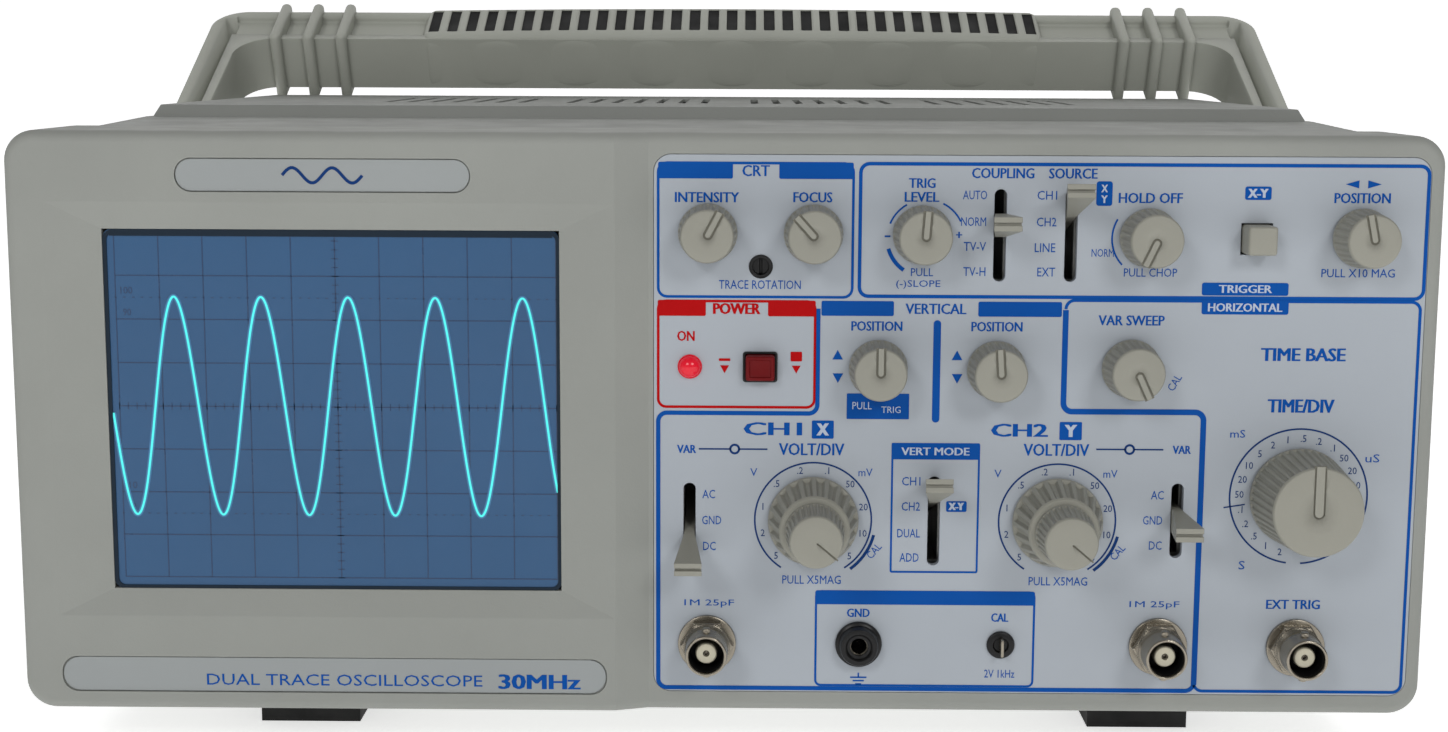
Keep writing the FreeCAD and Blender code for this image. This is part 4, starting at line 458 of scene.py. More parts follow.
def make_knob(
    control, body, turn_degrees, back, front, base, tip, ribs, rib_deep, rib_fill,
    pointer=None, bore=0.0, bore_front=0.0, shaft=3.0,
):
    """A ribbed knob with a chamfered face and, for most, a recessed pointer."""
    name, node_name = f"{control}_cap", f"{control}_knob"
    turn = knob_frame(node_name, turn_degrees)
    mesh = bmesh.new()
    profile = knob_profile(back, front, base, tip, bore, bore_front, shaft)
    add_lathe(mesh, profile, ribs * 6, turn, ribs, rib_deep, rib_fill)
    knob = settle(name, mesh, FINISHES["control_plastic"], 32.0)
    if pointer:
        knob = cut_pointer(knob, name, body, turn, front, *pointer)
    return place_piece(knob, body, "control_plastic", node_name)


SMALL_KNOBS = (
    # control, pointer angle, whether it pulls out on its own shaft
    ("intensity", 28, False), ("focus", -42, False), ("var_sweep", 155, False),
    ("trig_level", 4, True), ("hold_off", -155, True), ("h_position", -12, True),
    ("v_position_1", 0, True), ("v_position_2", -4, True),
)


def make_knobs():
    for name, angle, pulls in SMALL_KNOBS:
        make_knob(name, f"{name}_knob" if pulls else name, angle, 0.8, 11.2, 6.7, 5.9, 26, 0.32,
                  0.5, (0.4, 6.4, 2.2, 1.2), 3.05 if pulls else 0.0, 9.2)
    for channel in (1, 2):
        name = f"volts_div_{channel}"
        make_knob(name, name, 45, 0.8, 12.0, 10.4, 7.9, 20, 0.8, 0.35, shaft=4.5)
        name = f"vernier_{channel}"
        make_knob(name, f"{name}_knob", 130, 12.5, 23.0, 6.7, 5.9, 30, 0.32, 0.45,
                  (0.4, 6.6, 0.42, 0.0), 3.05, 21.0)
    make_knob("time_div", "time_div", 0, 0.8, 18.0, 11.4, 10.1, 40, 0.38, 0.45,
              (-0.1, 10.8, 2.7, 1.9))


# ------------------------ handle

HANDLE_LEAN = math.radians(26.7)
pivot_low, pivot_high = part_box("handle_pivots")
PIVOT = Vector((0, (pivot_low.y + pivot_high.y) / 2, (pivot_low.z + pivot_high.z) / 2))
# Handle frame: X across, Y away from the pivot along the arms, Z out of the handle's plane.
GRIP_MIDDLE, GRIP_HALF = 190.5, 103.0           # middle of the bar, half the sleeve's length
GRIP_STEPS, GRIP_AROUND = 150, 48
GRIP_SQUARE = 0.3                               # how square the sleeve is: 1 would be round
SLOT_PITCH, SLOT_HALF, SLOT_NEAR, SLOT_FAR = 6.2, 1.8, 6.6, 9.9
COLLAR_FIRST, COLLAR_PITCH, COLLAR_HALF = 129.3, 10.9, 1.75
HANDLE = Matrix.Translation(PIVOT) @ Matrix.Rotation(HANDLE_LEAN, 4, "X")


def arc_flat(x, y, radius, start, end, steps):
    """Points on an arc, angles in degrees anticlockwise from +X."""
    return [(x + radius * math.cos(math.radians(start + (end - start) * i / steps)),
             y + radius * math.sin(math.radians(start + (end - start) * i / steps)))
            for i in range(steps + 1)]


def handle_outline():
    """Bow of the handle seen flat, in millimetres: right arm, bar, left arm."""
    right = [(163.3, 4), (174.3, 4)] + arc_flat(163.3, 189.5, 11.0, 0, 90, 10)
    left = [(-x, y) for x, y in reversed(right)]
    inside = [(-163.3, 4)] + arc_flat(-151.3, 168.5, 12.0, 180, 90, 10)
    back = [(-x, y) for x, y in reversed(inside)]
    return right[1:] + left[:-1] + inside + back


def add_slab(mesh, outline, low, high, rounding):
    """A flat outline given thickness, with both rims rounded."""
    part = bmesh.new()
    bottom = [part.verts.new((x * MM, y * MM, low * MM)) for x, y in outline]
    top = [part.verts.new((x * MM, y * MM, high * MM)) for x, y in outline]
    faces = [part.faces.new(list(reversed(bottom))), part.faces.new(top)]
    count = len(outline)
    for i in range(count):
        part.faces.new((bottom[i], bottom[(i + 1) % count], top[(i + 1) % count], top[i]))
    if rounding:
        rims = list({edge for face in faces for edge in face.edges})
        bmesh.ops.bevel(part, geom=rims, offset=rounding * MM, segments=5, profile=0.5,
                        affect="EDGES")
    pour(part, mesh)


def box_tool(name, boxes, rounding=0.0):
    """One cutter from several boxes in the handle's frame, millimetres."""
    mesh = bmesh.new()
    for x, y, z in boxes:
        add_box(mesh, *[(low * MM, high * MM) for low, high in (x, y, z)],
                rounding=rounding * MM, segments=4)
    return settle(name, mesh, INKS["groove"])


def make_handle():
    mesh = bmesh.new()
    add_slab(mesh, handle_outline(), -9, 9, 1.8)
    bow = settle("handle_bow", mesh, FINISHES["handle_plastic"], 40.0)
    channels = [(tuple(sorted((side * 170.6, side * 166.2))), (30, 196), (-5.5, 14))
                for side in (-1, 1)]
    boolean(bow, box_tool("channel_tool", channels, 1.6))
    boolean(bow, box_tool("bar_tool", [((-167, 167), (183.5, 197.5), (6.5, 14))], 1.0))
    hubs = bmesh.new()
    for side in (-1, 1):
        turn = Matrix.Rotation(side * math.pi / 2, 4, "Z")
        profile = [(-163.4, 0), (-163.4, 21.6), (-164.2, 22.6), (-165.4, 23.0), (-172.6, 23.0),
                   (-174.4, 22.4), (-175.6, 21.0), (-176.2, 19.0), (-176.2, 15.4), (-175.6, 15.0),
                   (-175.6, 13.6), (-176.1, 13.2), (-176.2, 12.4), (-176.2, 0)]
        add_lathe(hubs, profile, 96, turn)
    hub_piece = settle("handle_hubs", hubs, FINISHES["handle_plastic"], 30.0)
    ribs = bmesh.new()
    for side in (-1, 1):
        for step in range(3):
            middle = side * (COLLAR_FIRST + COLLAR_PITCH * step)
            add_box(ribs, ((middle - COLLAR_HALF) * MM, (middle + COLLAR_HALF) * MM),
                    (178.0 * MM, 203.0 * MM), (-12.2 * MM, 11.4 * MM), rounding=1.6 * MM,
                    segments=5)
    rib_piece = settle("handle_collars", ribs, FINISHES["handle_plastic"], 50.0)
    for thing in (bow, hub_piece, rib_piece):
        thing.data.transform(HANDLE)
        place_piece(thing, "handle", "handle_plastic")
    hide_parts("handle_frame")


def grip_crown(x):
    """Height of the sleeve's top face, millimetres, which bulges towards its middle."""
    return 10.1 + 1.1 * (1 - (x / GRIP_HALF) ** 2)


def make_grip():
    """Crowned sleeve with rounded ends, a row of slots and gentle finger waves."""
    mesh = bmesh.new()
    rings = []
    for index in range(GRIP_STEPS + 1):
        share = index / GRIP_STEPS * 2 - 1
        x = GRIP_HALF * math.copysign(abs(share) ** 0.92, share)
        end_share = min(1.0, (GRIP_HALF - abs(x)) / 3.0)
        drawn_in = 2.4 * (1 - math.sqrt(1 - (1 - end_share) ** 2))
        wave = 0.5 * math.cos(2 * math.pi * x / 26.0)
        ring = []
        for step in range(GRIP_AROUND):
            angle = 2 * math.pi * step / GRIP_AROUND
            c, s = math.cos(angle), math.sin(angle)
            out = 12.4 if c > 0 else 10.1 + wave / 2
            rise = grip_crown(x) if s > 0 else 9.7 + wave
            u = math.copysign(abs(c) ** GRIP_SQUARE, c) * (out - drawn_in)
            n = math.copysign(abs(s) ** GRIP_SQUARE, s) * (rise - drawn_in)
            ring.append(mesh.verts.new((x * MM, (GRIP_MIDDLE + u) * MM, n * MM)))
        rings.append(ring)
    for first, second in zip(rings, rings[1:]):
        for step in range(GRIP_AROUND):
            after = (step + 1) % GRIP_AROUND
            mesh.faces.new((first[step], first[after], second[after], second[step]))
    mesh.faces.new(rings[0])
    mesh.faces.new(list(reversed(rings[-1])))
    grip = settle("handle_sleeve", mesh, FINISHES["handle_plastic"], 45.0)
    middles = [SLOT_PITCH * step for step in range(-16, 17)]
    slots = [((x - SLOT_HALF, x + SLOT_HALF), (GRIP_MIDDLE - SLOT_NEAR, GRIP_MIDDLE + SLOT_FAR),
              (7.7, 14)) for x in middles]
    boolean(grip, box_tool("slot_tool", slots, 0.5))
    grip.data.transform(HANDLE)
    place_piece(grip, "handle", "handle_plastic", "handle_grip")
    # Painted shadow: black blocks fill the slots almost to the top, standing for the shade inside
    # them.
    slot_shadows = bmesh.new()
    for x in middles:
        half, near, far = SLOT_HALF + 0.05, SLOT_NEAR + 0.05, SLOT_FAR + 0.05
        add_box(slot_shadows, ((x - half) * MM, (x + half) * MM),
                ((GRIP_MIDDLE - near) * MM, (GRIP_MIDDLE + far) * MM),
                (7.0 * MM, (grip_crown(x) - 0.9) * MM), rounding=0.1 * MM, segments=1)
    shadow_piece = settle("handle_slot_shadows", slot_shadows, INKS["black"])
    shadow_piece.data.transform(HANDLE)
    place_piece(shadow_piece, "handle", "handle_plastic")


# ------------------------ sockets

def spot_of(x, up, y=FACE):
    return Matrix.Translation((x * MM, y, MIDDLE + up * MM))


def make_coaxial(name, turn):
    """Bayonet connector: washer, nut, threaded collar, barrel with two lugs, ivory insert."""
    shell = bmesh.new()
    washer = [(-0.05, 0), (-0.05, 6.6), (-0.15, 6.7), (-0.9, 6.7), (-1.0, 6.6), (-1.0, 0)]
    add_lathe(shell, washer, 56, turn)
    nut = [(-0.95, 0), (-0.95, 5.9), (-1.15, 6.2), (-2.55, 6.2), (-2.8, 5.8), (-2.8, 0)]
    add_lathe(shell, nut, 6, turn @ Matrix.Rotation(math.radians(30), 4, "Y"))
    barrel = [(-2.7, 0), (-2.7, 5.3), (-3.1, 5.3), (-3.2, 4.95)]
    for thread in range(4):
        y = -3.3 - thread * 0.6
        barrel += [(y, 5.0), (y - 0.15, 5.2), (y - 0.3, 5.2), (y - 0.45, 5.0)]
    barrel += [(-5.9, 4.8), (-10.7, 4.8), (-11.3, 4.7), (-11.5, 4.5),
               (-11.5, 4.25), (-11.35, 4.05), (-3.4, 4.05), (-3.4, 0)]
    add_lathe(shell, barrel, 64, turn)
    for side in (-1, 1):
        lug = [(-5.75, 0), (-5.75, 0.7), (-5.5, 0.95), (-4.4, 0.95), (-4.4, 0)]
        outward = Matrix.Rotation(side * math.pi / 2, 4, "X")
        reach = turn @ Matrix.Translation((0, -8 * MM, 0)) @ outward
        add_lathe(shell, lug, 20, reach)
    tail = [(13.0, 0), (13.0, 4.4), (12.6, 4.7), (0, 4.7), (0, 0)]
    add_lathe(shell, tail, 40, turn)
    shell_piece = settle(f"{name}_shell", shell, FINISHES["nickel"], 30.0)
    place_piece(shell_piece, "root", "nickel")
    # Painted shadow: the black cup lines the barrel's mouth, where its inside is in shade.
    cup = [(-3.5, 0), (-3.5, 4.0), (-10.4, 4.0), (-10.4, 3.9), (-3.9, 3.9), (-3.9, 0)]
    core = [(-3.8, 0), (-3.8, 2.6), (-8.6, 2.45), (-9.0, 2.2), (-9.0, 0.75), (-7.0, 0.7), (-7.0, 0)]
    pin = [(-6.9, 0), (-6.9, 0.62), (-8.5, 0.62), (-8.7, 0.45), (-7.8, 0.3), (-7.8, 0)]
    for part, profile, segments, material in (
            ("mouth_shadow", cup, 48, INKS["black"]), ("insert", core, 48, INKS["ivory"]),
            ("contact", pin, 24, FINISHES["nickel"])):
        turned_piece(f"{name}_{part}", profile, segments, turn, material, "root", "nickel")
    return shell_piece


def make_sockets():
    shells = [make_coaxial("input_1_socket", spot_of(-3.5, -50.7)),
              make_coaxial("input_2_socket", spot_of(100.8, -50.7)),
              make_coaxial("external_socket", spot_of(132.5, -50.7))]
    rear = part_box("rear_panel")[1].y
    flip = Matrix.Rotation(math.pi, 4, "Z")
    for index, x in enumerate((60, 90)):
        shells.append(make_coaxial(f"outlet_{index + 1}_socket", spot_of(x, 40, rear) @ flip))
    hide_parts("bnc_connectors")

    turn = spot_of(31.6, -50.6)
    collar = [(13.8, 0), (13.8, 3.6), (13.4, 3.95), (0, 3.95), (-0.1, 5.1), (-0.6, 5.4), (-1.1, 5.3),
              (-1.4, 4.9), (-1.5, 4.6), (-3.4, 4.4), (-3.9, 4.2), (-4.0, 3.9), (-4.0, 3.3),
              (-3.7, 2.9), (-3.3, 2.7), (-3.2, 2.05), (11.0, 2.05), (11.0, 0)]
    turned_piece("ground_collar", collar, 72, turn, FINISHES["dark_plastic"], "root",
                 "dark_plastic", "ground_jack")
    sleeve = [(-2.4, 2.04), (-2.4, 1.86), (9.0, 1.86), (9.0, 2.04), (-2.4, 2.04)]
    turned_piece("ground_sleeve", sleeve, 40, turn, FINISHES["nickel"], "root", "nickel")

    turn = spot_of(64.5, -50.6)
    disc = [(9.0, 0), (9.0, 2.3), (-0.1, 2.3), (-0.1, 3.1), (-0.4, 3.25), (-0.8, 3.1), (-1.0, 2.7),
            (-1.0, 1.8), (-0.5, 1.6), (-0.5, 0)]
    turned_piece("cal_seat", disc, 60, turn, FINISHES["dark_plastic"], "root", "nickel",
                 "cal_terminal")
    loop = bmesh.new()
    add_box(loop, (-0.35 * MM, 0.35 * MM), (-4.2 * MM, 1.0 * MM), (-2.0 * MM, 2.0 * MM), turn,
            0.25 * MM)
    place_piece(settle("cal_loop", loop, FINISHES["nickel"], 40.0), "root", "nickel")


def make_small_parts():
    """Rims, caps and lenses around the smaller controls."""
    low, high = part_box("power_button")
    x, z = (low.x + high.x) / 2, (low.z + high.z) / 2
    # A thin dark frame round the button's opening, standing just proud of the panel.
    rim = bmesh.new()
    outer = round_rectangle(x - 0.00395, z - 0.0035, x + 0.00395, z + 0.0035, 0.0007)
    inner = round_rectangle(x - 0.00345, z - 0.003, x + 0.00345, z + 0.003, 0.0003)
    front, back = FACE - 0.0004, FACE + 0.0001
    rings = [[rim.verts.new((px, level, pz)) for px, pz in run]
             for level in (front, back) for run in (outer, inner)]
    count = len(outer)
    for i in range(count):
        j = (i + 1) % count
        for a, b in ((0, 1), (1, 3), (3, 2), (2, 0)):
            rim.faces.new((rings[a][i], rings[a][j], rings[b][j], rings[b][i]))
    place_piece(settle("power_dark_frame", rim, FINISHES["dark_plastic"]), "root", "dark_plastic")

    cap = bmesh.new()
    front_y, back_y = low.y, FACE + 0.009
    add_box(cap, around(x, 0.0033), (front_y, back_y), around(z, 0.00285),
            rounding=0.0006, segments=4)
    add_box(cap, around(x, 0.0015), (FACE + 0.008, high.y), around(z, 0.0015))
    button = settle("power_cap", cap, FINISHES["button_red"], 40.0)
    dish = bmesh.new()
    add_box(dish, around(x, 0.0024), (front_y - 0.001, front_y + 0.00035), around(z, 0.002),
            rounding=0.0003)
    boolean(button, settle("dish_tool", dish, INKS["groove"]))
    place_piece(button, "power_button", "button_red", "power_button")

    low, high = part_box("xy_key")
    x, z = (low.x + high.x) / 2, (low.z + high.z) / 2
    key = bmesh.new()
    add_box(key, around(x, 0.00325), (low.y, FACE + 0.009), around(z, 0.00325),
            rounding=0.0007, segments=4)
    add_box(key, around(x, 0.0015), (FACE + 0.008, high.y), around(z, 0.0015))
    place_piece(settle("xy_cap", key, FINISHES["control_plastic"], 40.0), "xy_key",
                "control_plastic", "xy_key")

    low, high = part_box("power_led")
    turn = Matrix.Translation(((low.x + high.x) / 2, FACE, (low.z + high.z) / 2))
    dome = [(9.0, 0), (9.0, 2.4), (0.2, 2.4), (0.1, 2.5), (-0.4, 2.5)]
    dome += [(-0.4 - 2.1 * math.sin(a), 2.5 * math.cos(a))
             for a in (math.radians(k * 10) for k in range(1, 9))]
    dome += [(-2.5, 0)]
    turned_piece("lamp_lens", dome, 48, turn, FINISHES["lamp_red"], "root", "lamp_red",
                 "power_led", smooth=50.0)
    ring = [(0.1, 2.55), (0.1, 2.75), (-0.25, 2.78), (-0.4, 2.7), (-0.35, 2.55), (0.1, 2.55)]
    turned_piece("lamp_bezel", ring, 48, turn, FINISHES["lamp_red"], "root", "lamp_red",
                 smooth=40.0)
    rim = [(-0.12, 1.9), (-0.12, 2.4), (-0.3, 2.55), (-0.15, 2.7), (0.05, 2.7), (0.05, 1.9),
           (-0.12, 1.9)]
    turned_piece("trimmer_rim", rim, 48, spot_of(8.4, 37.0), FINISHES["dark_plastic"], "root",
                 "dark_plastic")


# ------------------------ print

PROUD, SUNK = 0.00005, 0.00002                  # print in front of and into its face, metres
BOLD_STEP = 0.17                                # how far a heavier letter is repeated aside
WORDS = {
    # ink: (text, across, up, width, height, weight, tilt) in millimetres from the panel's middle
    "blue": (
        ("CRT", 7.2, 58.6, 6.2, 2.5, 1), ("INTENSITY", -3.8, 52.6, 14.5, 2.3, 1),
        ("FOCUS", 20.0, 52.7, 8.8, 2.3, 1), ("TRACE ROTATION", 8.2, 32.9, 18.5, 2.0),
        ("TRIG", 44.5, 56.0, 6.0, 2.2, 1), ("LEVEL", 44.5, 52.9, 7.8, 2.2, 1),
        ("PULL", 44.8, 35.9, 5.0, 1.8), ("(-)SLOPE", 44.0, 33.1, 10.0, 2.0),
        ("COUPLING", 62.6, 58.3, 14.0, 2.3, 1), ("SOURCE", 78.3, 58.3, 10.9, 2.3, 1),
        ("AUTO", 56.4, 53.4, 5.4, 2.0), ("NORM", 56.2, 47.4, 5.6, 2.0),
        ("TV-V", 56.6, 41.8, 5.0, 2.0), ("TV-H", 56.6, 36.1, 5.0, 2.0),
        ("CH1", 72.6, 53.4, 4.4, 2.0), ("CH2", 72.6, 47.4, 4.4, 2.0),
        ("LINE", 72.4, 41.6, 4.6, 2.0), ("EXT", 72.8, 36.1, 4.0, 2.0),
        ("HOLD OFF", 95.8, 52.9, 14.4, 2.3, 1), ("PULL CHOP", 96.3, 36.1, 12.0, 1.9),
        ("NORM", 85.4, 40.5, 5.0, 1.8), ("POSITION", 143.2, 53.1, 12.6, 2.3, 1),
        ("PULL X10 MAG", 143.0, 36.2, 16.5, 1.9), ("VERTICAL", 48.1, 27.6, 13.8, 2.4, 1),
        ("POSITION", 34.8, 23.6, 11.6, 2.2, 1), ("POSITION", 62.0, 23.6, 11.6, 2.2, 1),
        ("VAR SWEEP", 92.4, 25.2, 15.0, 2.3, 1), ("TIME BASE", 131.5, 17.6, 19.2, 3.0, 2),
        ("TIME/DIV", 131.5, 5.8, 15.2, 3.1, 2), ("mS", 117.4, -0.7, 3.4, 1.8),
        ("uS", 148.3, -6.2, 3.2, 1.9), ("S", 119.5, -31.4, 1.4, 2.0),
        ("CH1", 11.4, -0.2, 13.4, 3.0, 3), ("CH2", 67.7, -0.2, 13.0, 3.0, 3),
        ("VAR", -8.3, -5.0, 4.4, 1.9, 1), ("VOLT/DIV", 20.3, -4.9, 15.0, 2.8, 1),
        ("AC", -3.2, -15.5, 2.9, 2.0), ("GND", -2.5, -21.6, 4.4, 2.0),
        ("DC", -3.0, -27.7, 2.9, 2.0), ("V", 7.1, -10.3, 1.6, 1.8), ("mV", 32.7, -10.2, 3.2, 1.8),
        ("CAL", 34.9, -28.6, 3.8, 1.8, 0, 50), ("PULL X5MAG", 20.6, -35.5, 13.5, 2.0),
        ("VAR", 104.8, -4.5, 4.2, 1.9, 1), ("VOLT/DIV", 76.2, -4.7, 15.0, 2.8, 1),
        ("AC", 99.6, -15.1, 2.9, 2.0), ("GND", 98.7, -21.0, 4.4, 2.0),
        ("DC", 99.5, -26.9, 2.9, 2.0), ("V", 63.0, -10.3, 1.6, 1.8), ("mV", 88.7, -10.2, 3.2, 1.8),
        ("CAL", 90.9, -28.6, 3.8, 1.8, 0, 50), ("PULL X5MAG", 77.4, -35.5, 13.5, 2.0),
        ("CH1", 43.2, -12.2, 4.2, 2.0), ("CH2", 43.2, -18.1, 4.2, 2.0),
        ("DUAL", 42.8, -24.4, 5.2, 2.0), ("ADD", 43.0, -30.1, 4.4, 2.0),
        ("1M 25pF", -3.0, -41.3, 11.5, 1.9), ("1M 25pF", 99.8, -41.0, 11.5, 1.9),
        ("EXT TRIG", 131.7, -40.6, 12.4, 2.2, 1), ("GND", 31.5, -43.3, 5.3, 2.0, 1),
        ("CAL", 64.2, -44.2, 4.0, 2.0, 1), ("2V 1kHz", 64.4, -57.6, 7.0, 1.9),
        ("CAL", 102.6, 11.0, 3.8, 1.8, 0, 60), ("-", 36.9, 44.0, 1.3, 0.4, 1),
        ("+", 53.0, 44.4, 1.4, 1.4, 1),
    ),
    "red": (("POWER", 3.0, 27.4, 10.8, 2.5, 2), ("ON", -8.5, 21.1, 4.0, 2.3, 1)),
    "pale": (
        ("X", 85.4, 55.0, 1.5, 1.7, 1), ("Y", 85.4, 52.6, 1.5, 1.7, 1),
        ("X-Y", 119.8, 54.1, 4.6, 2.0, 2), ("TRIGGER", 117.8, 32.5, 12.0, 1.8, 1),
        ("HORIZONTAL", 117.9, 28.3, 16.8, 1.9, 1), ("PULL", 31.7, 5.3, 4.4, 1.7),
        ("TRIG", 38.3, 4.4, 4.4, 1.5), ("X", 22.8, -0.25, 2.9, 2.8, 3),
        ("Y", 79.35, -0.25, 2.9, 2.8, 3), ("VERT MODE", 48.6, -5.2, 15.6, 1.8, 1),
        ("X-Y", 53.6, -18.0, 3.6, 1.7, 2),
    ),
}
# ink: filled bars, (left, low, right, high, corner radius)
BARS = {
    "blue": (
        (-14.8, 56.8, 2.0, 60.5, 0.4), (12.4, 56.8, 29.1, 60.5, 0.4), (22.2, 25.9, 38.6, 29.3, 0.4),
        (57.7, 25.9, 76.6, 29.3, 0.4), (47.65, 1.5, 49.35, 25.0, 0.8), (83.6, 51.1, 87.2, 56.6, 0.6),
        (116.9, 52.6, 122.8, 55.6, 0.5), (108.0, 31.0, 127.5, 33.9, 0.5),
        (108.1, 26.7, 127.7, 29.8, 0.5), (28.2, 2.2, 42.4, 8.1, 0.2), (20.3, -2.4, 25.3, 1.8, 0.3),
        (76.8, -2.4, 81.9, 1.8, 0.3), (38.6, -7.1, 58.7, -3.3, 0.2), (51.3, -19.3, 56.0, -16.8, 0.4),
        (21.5, -41.3, 72.2, -38.0, 0.5),
    ),
    "red": ((-14.9, 25.7, -4.0, 29.3, 0.4), (10.1, 25.7, 20.9, 29.3, 0.4)),
}
# ink: (left, low, right, high, corner radius, line width)
FRAMES = {
    "blue": (
        (-14.8, 30.1, 29.1, 60.3, 2.0, 0.6), (30.7, 30.4, 157.9, 60.3, 2.0, 0.8),
        (38.8, -33.5, 58.6, -3.5, 0.3, 0.45), (21.7, -60.6, 72.1, -38.2, 1.2, 0.5),
    ),
    "red": ((-14.8, 4.8, 20.8, 29.1, 1.8, 0.6),),
}


def add_letters(mesh, text, across, up, wide, tall, weight=0, tilt=0, at=FACE):
    """Raised letters of a width and height, centred on a spot of a front-facing plane.

    A width of None keeps the natural width. A heavier weight repeats them a little aside.
    """
    curve = bpy.data.curves.new("letters", "FONT")
    curve.body = text
    curve.resolution_u = 2
    curve.extrude = 0.5
    carrier = bpy.data.objects.new("letters", curve)
    shape = bpy.data.meshes.new_from_object(carrier)
    xs = [vert.co.x for vert in shape.vertices]
    ys = [vert.co.y for vert in shape.vertices]
    middle = ((min(xs) + max(xs)) / 2, (min(ys) + max(ys)) / 2)
    scale_y = tall * MM / (max(ys) - min(ys))
    scale_x = (wide - BOLD_STEP * weight) * MM / (max(xs) - min(xs)) if wide else scale_y * 0.92
    turn = math.radians(tilt)
    flat = [((vert.co.x - middle[0]) * scale_x, (vert.co.y - middle[1]) * scale_y, vert.co.z > 0)
            for vert in shape.vertices]
    for copy in range(weight + 1):
        aside, lift = (copy - weight / 2) * BOLD_STEP * MM, copy * 2e-6
        for vert, (x, y, raised) in zip(shape.vertices, flat):
            x += aside
            vert.co = (x * math.cos(turn) - y * math.sin(turn) + across * MM,
                       at - (PROUD + lift if raised else -SUNK),
                       x * math.sin(turn) + y * math.cos(turn) + MIDDLE + up * MM)
        mesh.from_mesh(shape)
    bpy.data.meshes.remove(shape)
    bpy.data.objects.remove(carrier)
    bpy.data.curves.remove(curve)


class Sheet:
    """Everything printed in one ink on one flat face."""

    def __init__(self, level=FACE):
        self.mesh = bmesh.new()
        self.level = level

    def at(self, points):
        return [(x * MM, MIDDLE + z * MM) for x, z in points]

    def line(self, points, width, closed=False, lift=0.00001):
        add_stroke(self.mesh, self.at(points), width * MM, self.level - PROUD - lift,
                   self.level + SUNK, closed)

    def area(self, points, lift=0.00002):
        add_prism(self.mesh, self.at(points), self.level - PROUD - lift, self.level + SUNK)

    def words(self, *row):
        add_letters(self.mesh, *row, at=self.level)

    def done(self, name, ink, material_slot, body="root"):
        place_piece(settle(name, self.mesh, INKS[ink], 20.0), body, material_slot)


def dial(sheet, x, up, radius, start, end, marks, first, step, reach, tall):
    """A ring with short numbers inside it."""
    sheet.line(arc_points(x, up, radius, start, end, 4.0), 0.38)
    for index, mark in enumerate(marks):
        angle = math.radians(first + step * index)
        sheet.words(mark, x + reach * math.sin(angle), up + reach * math.cos(angle), None, tall)


def triangle(x, up, half, rise):
    return [(x - half, up), (x + half, up), (x, up + rise)]


def arrow(x, up, half, run):
    return [(x, up - half), (x, up + half), (x + run, up)]


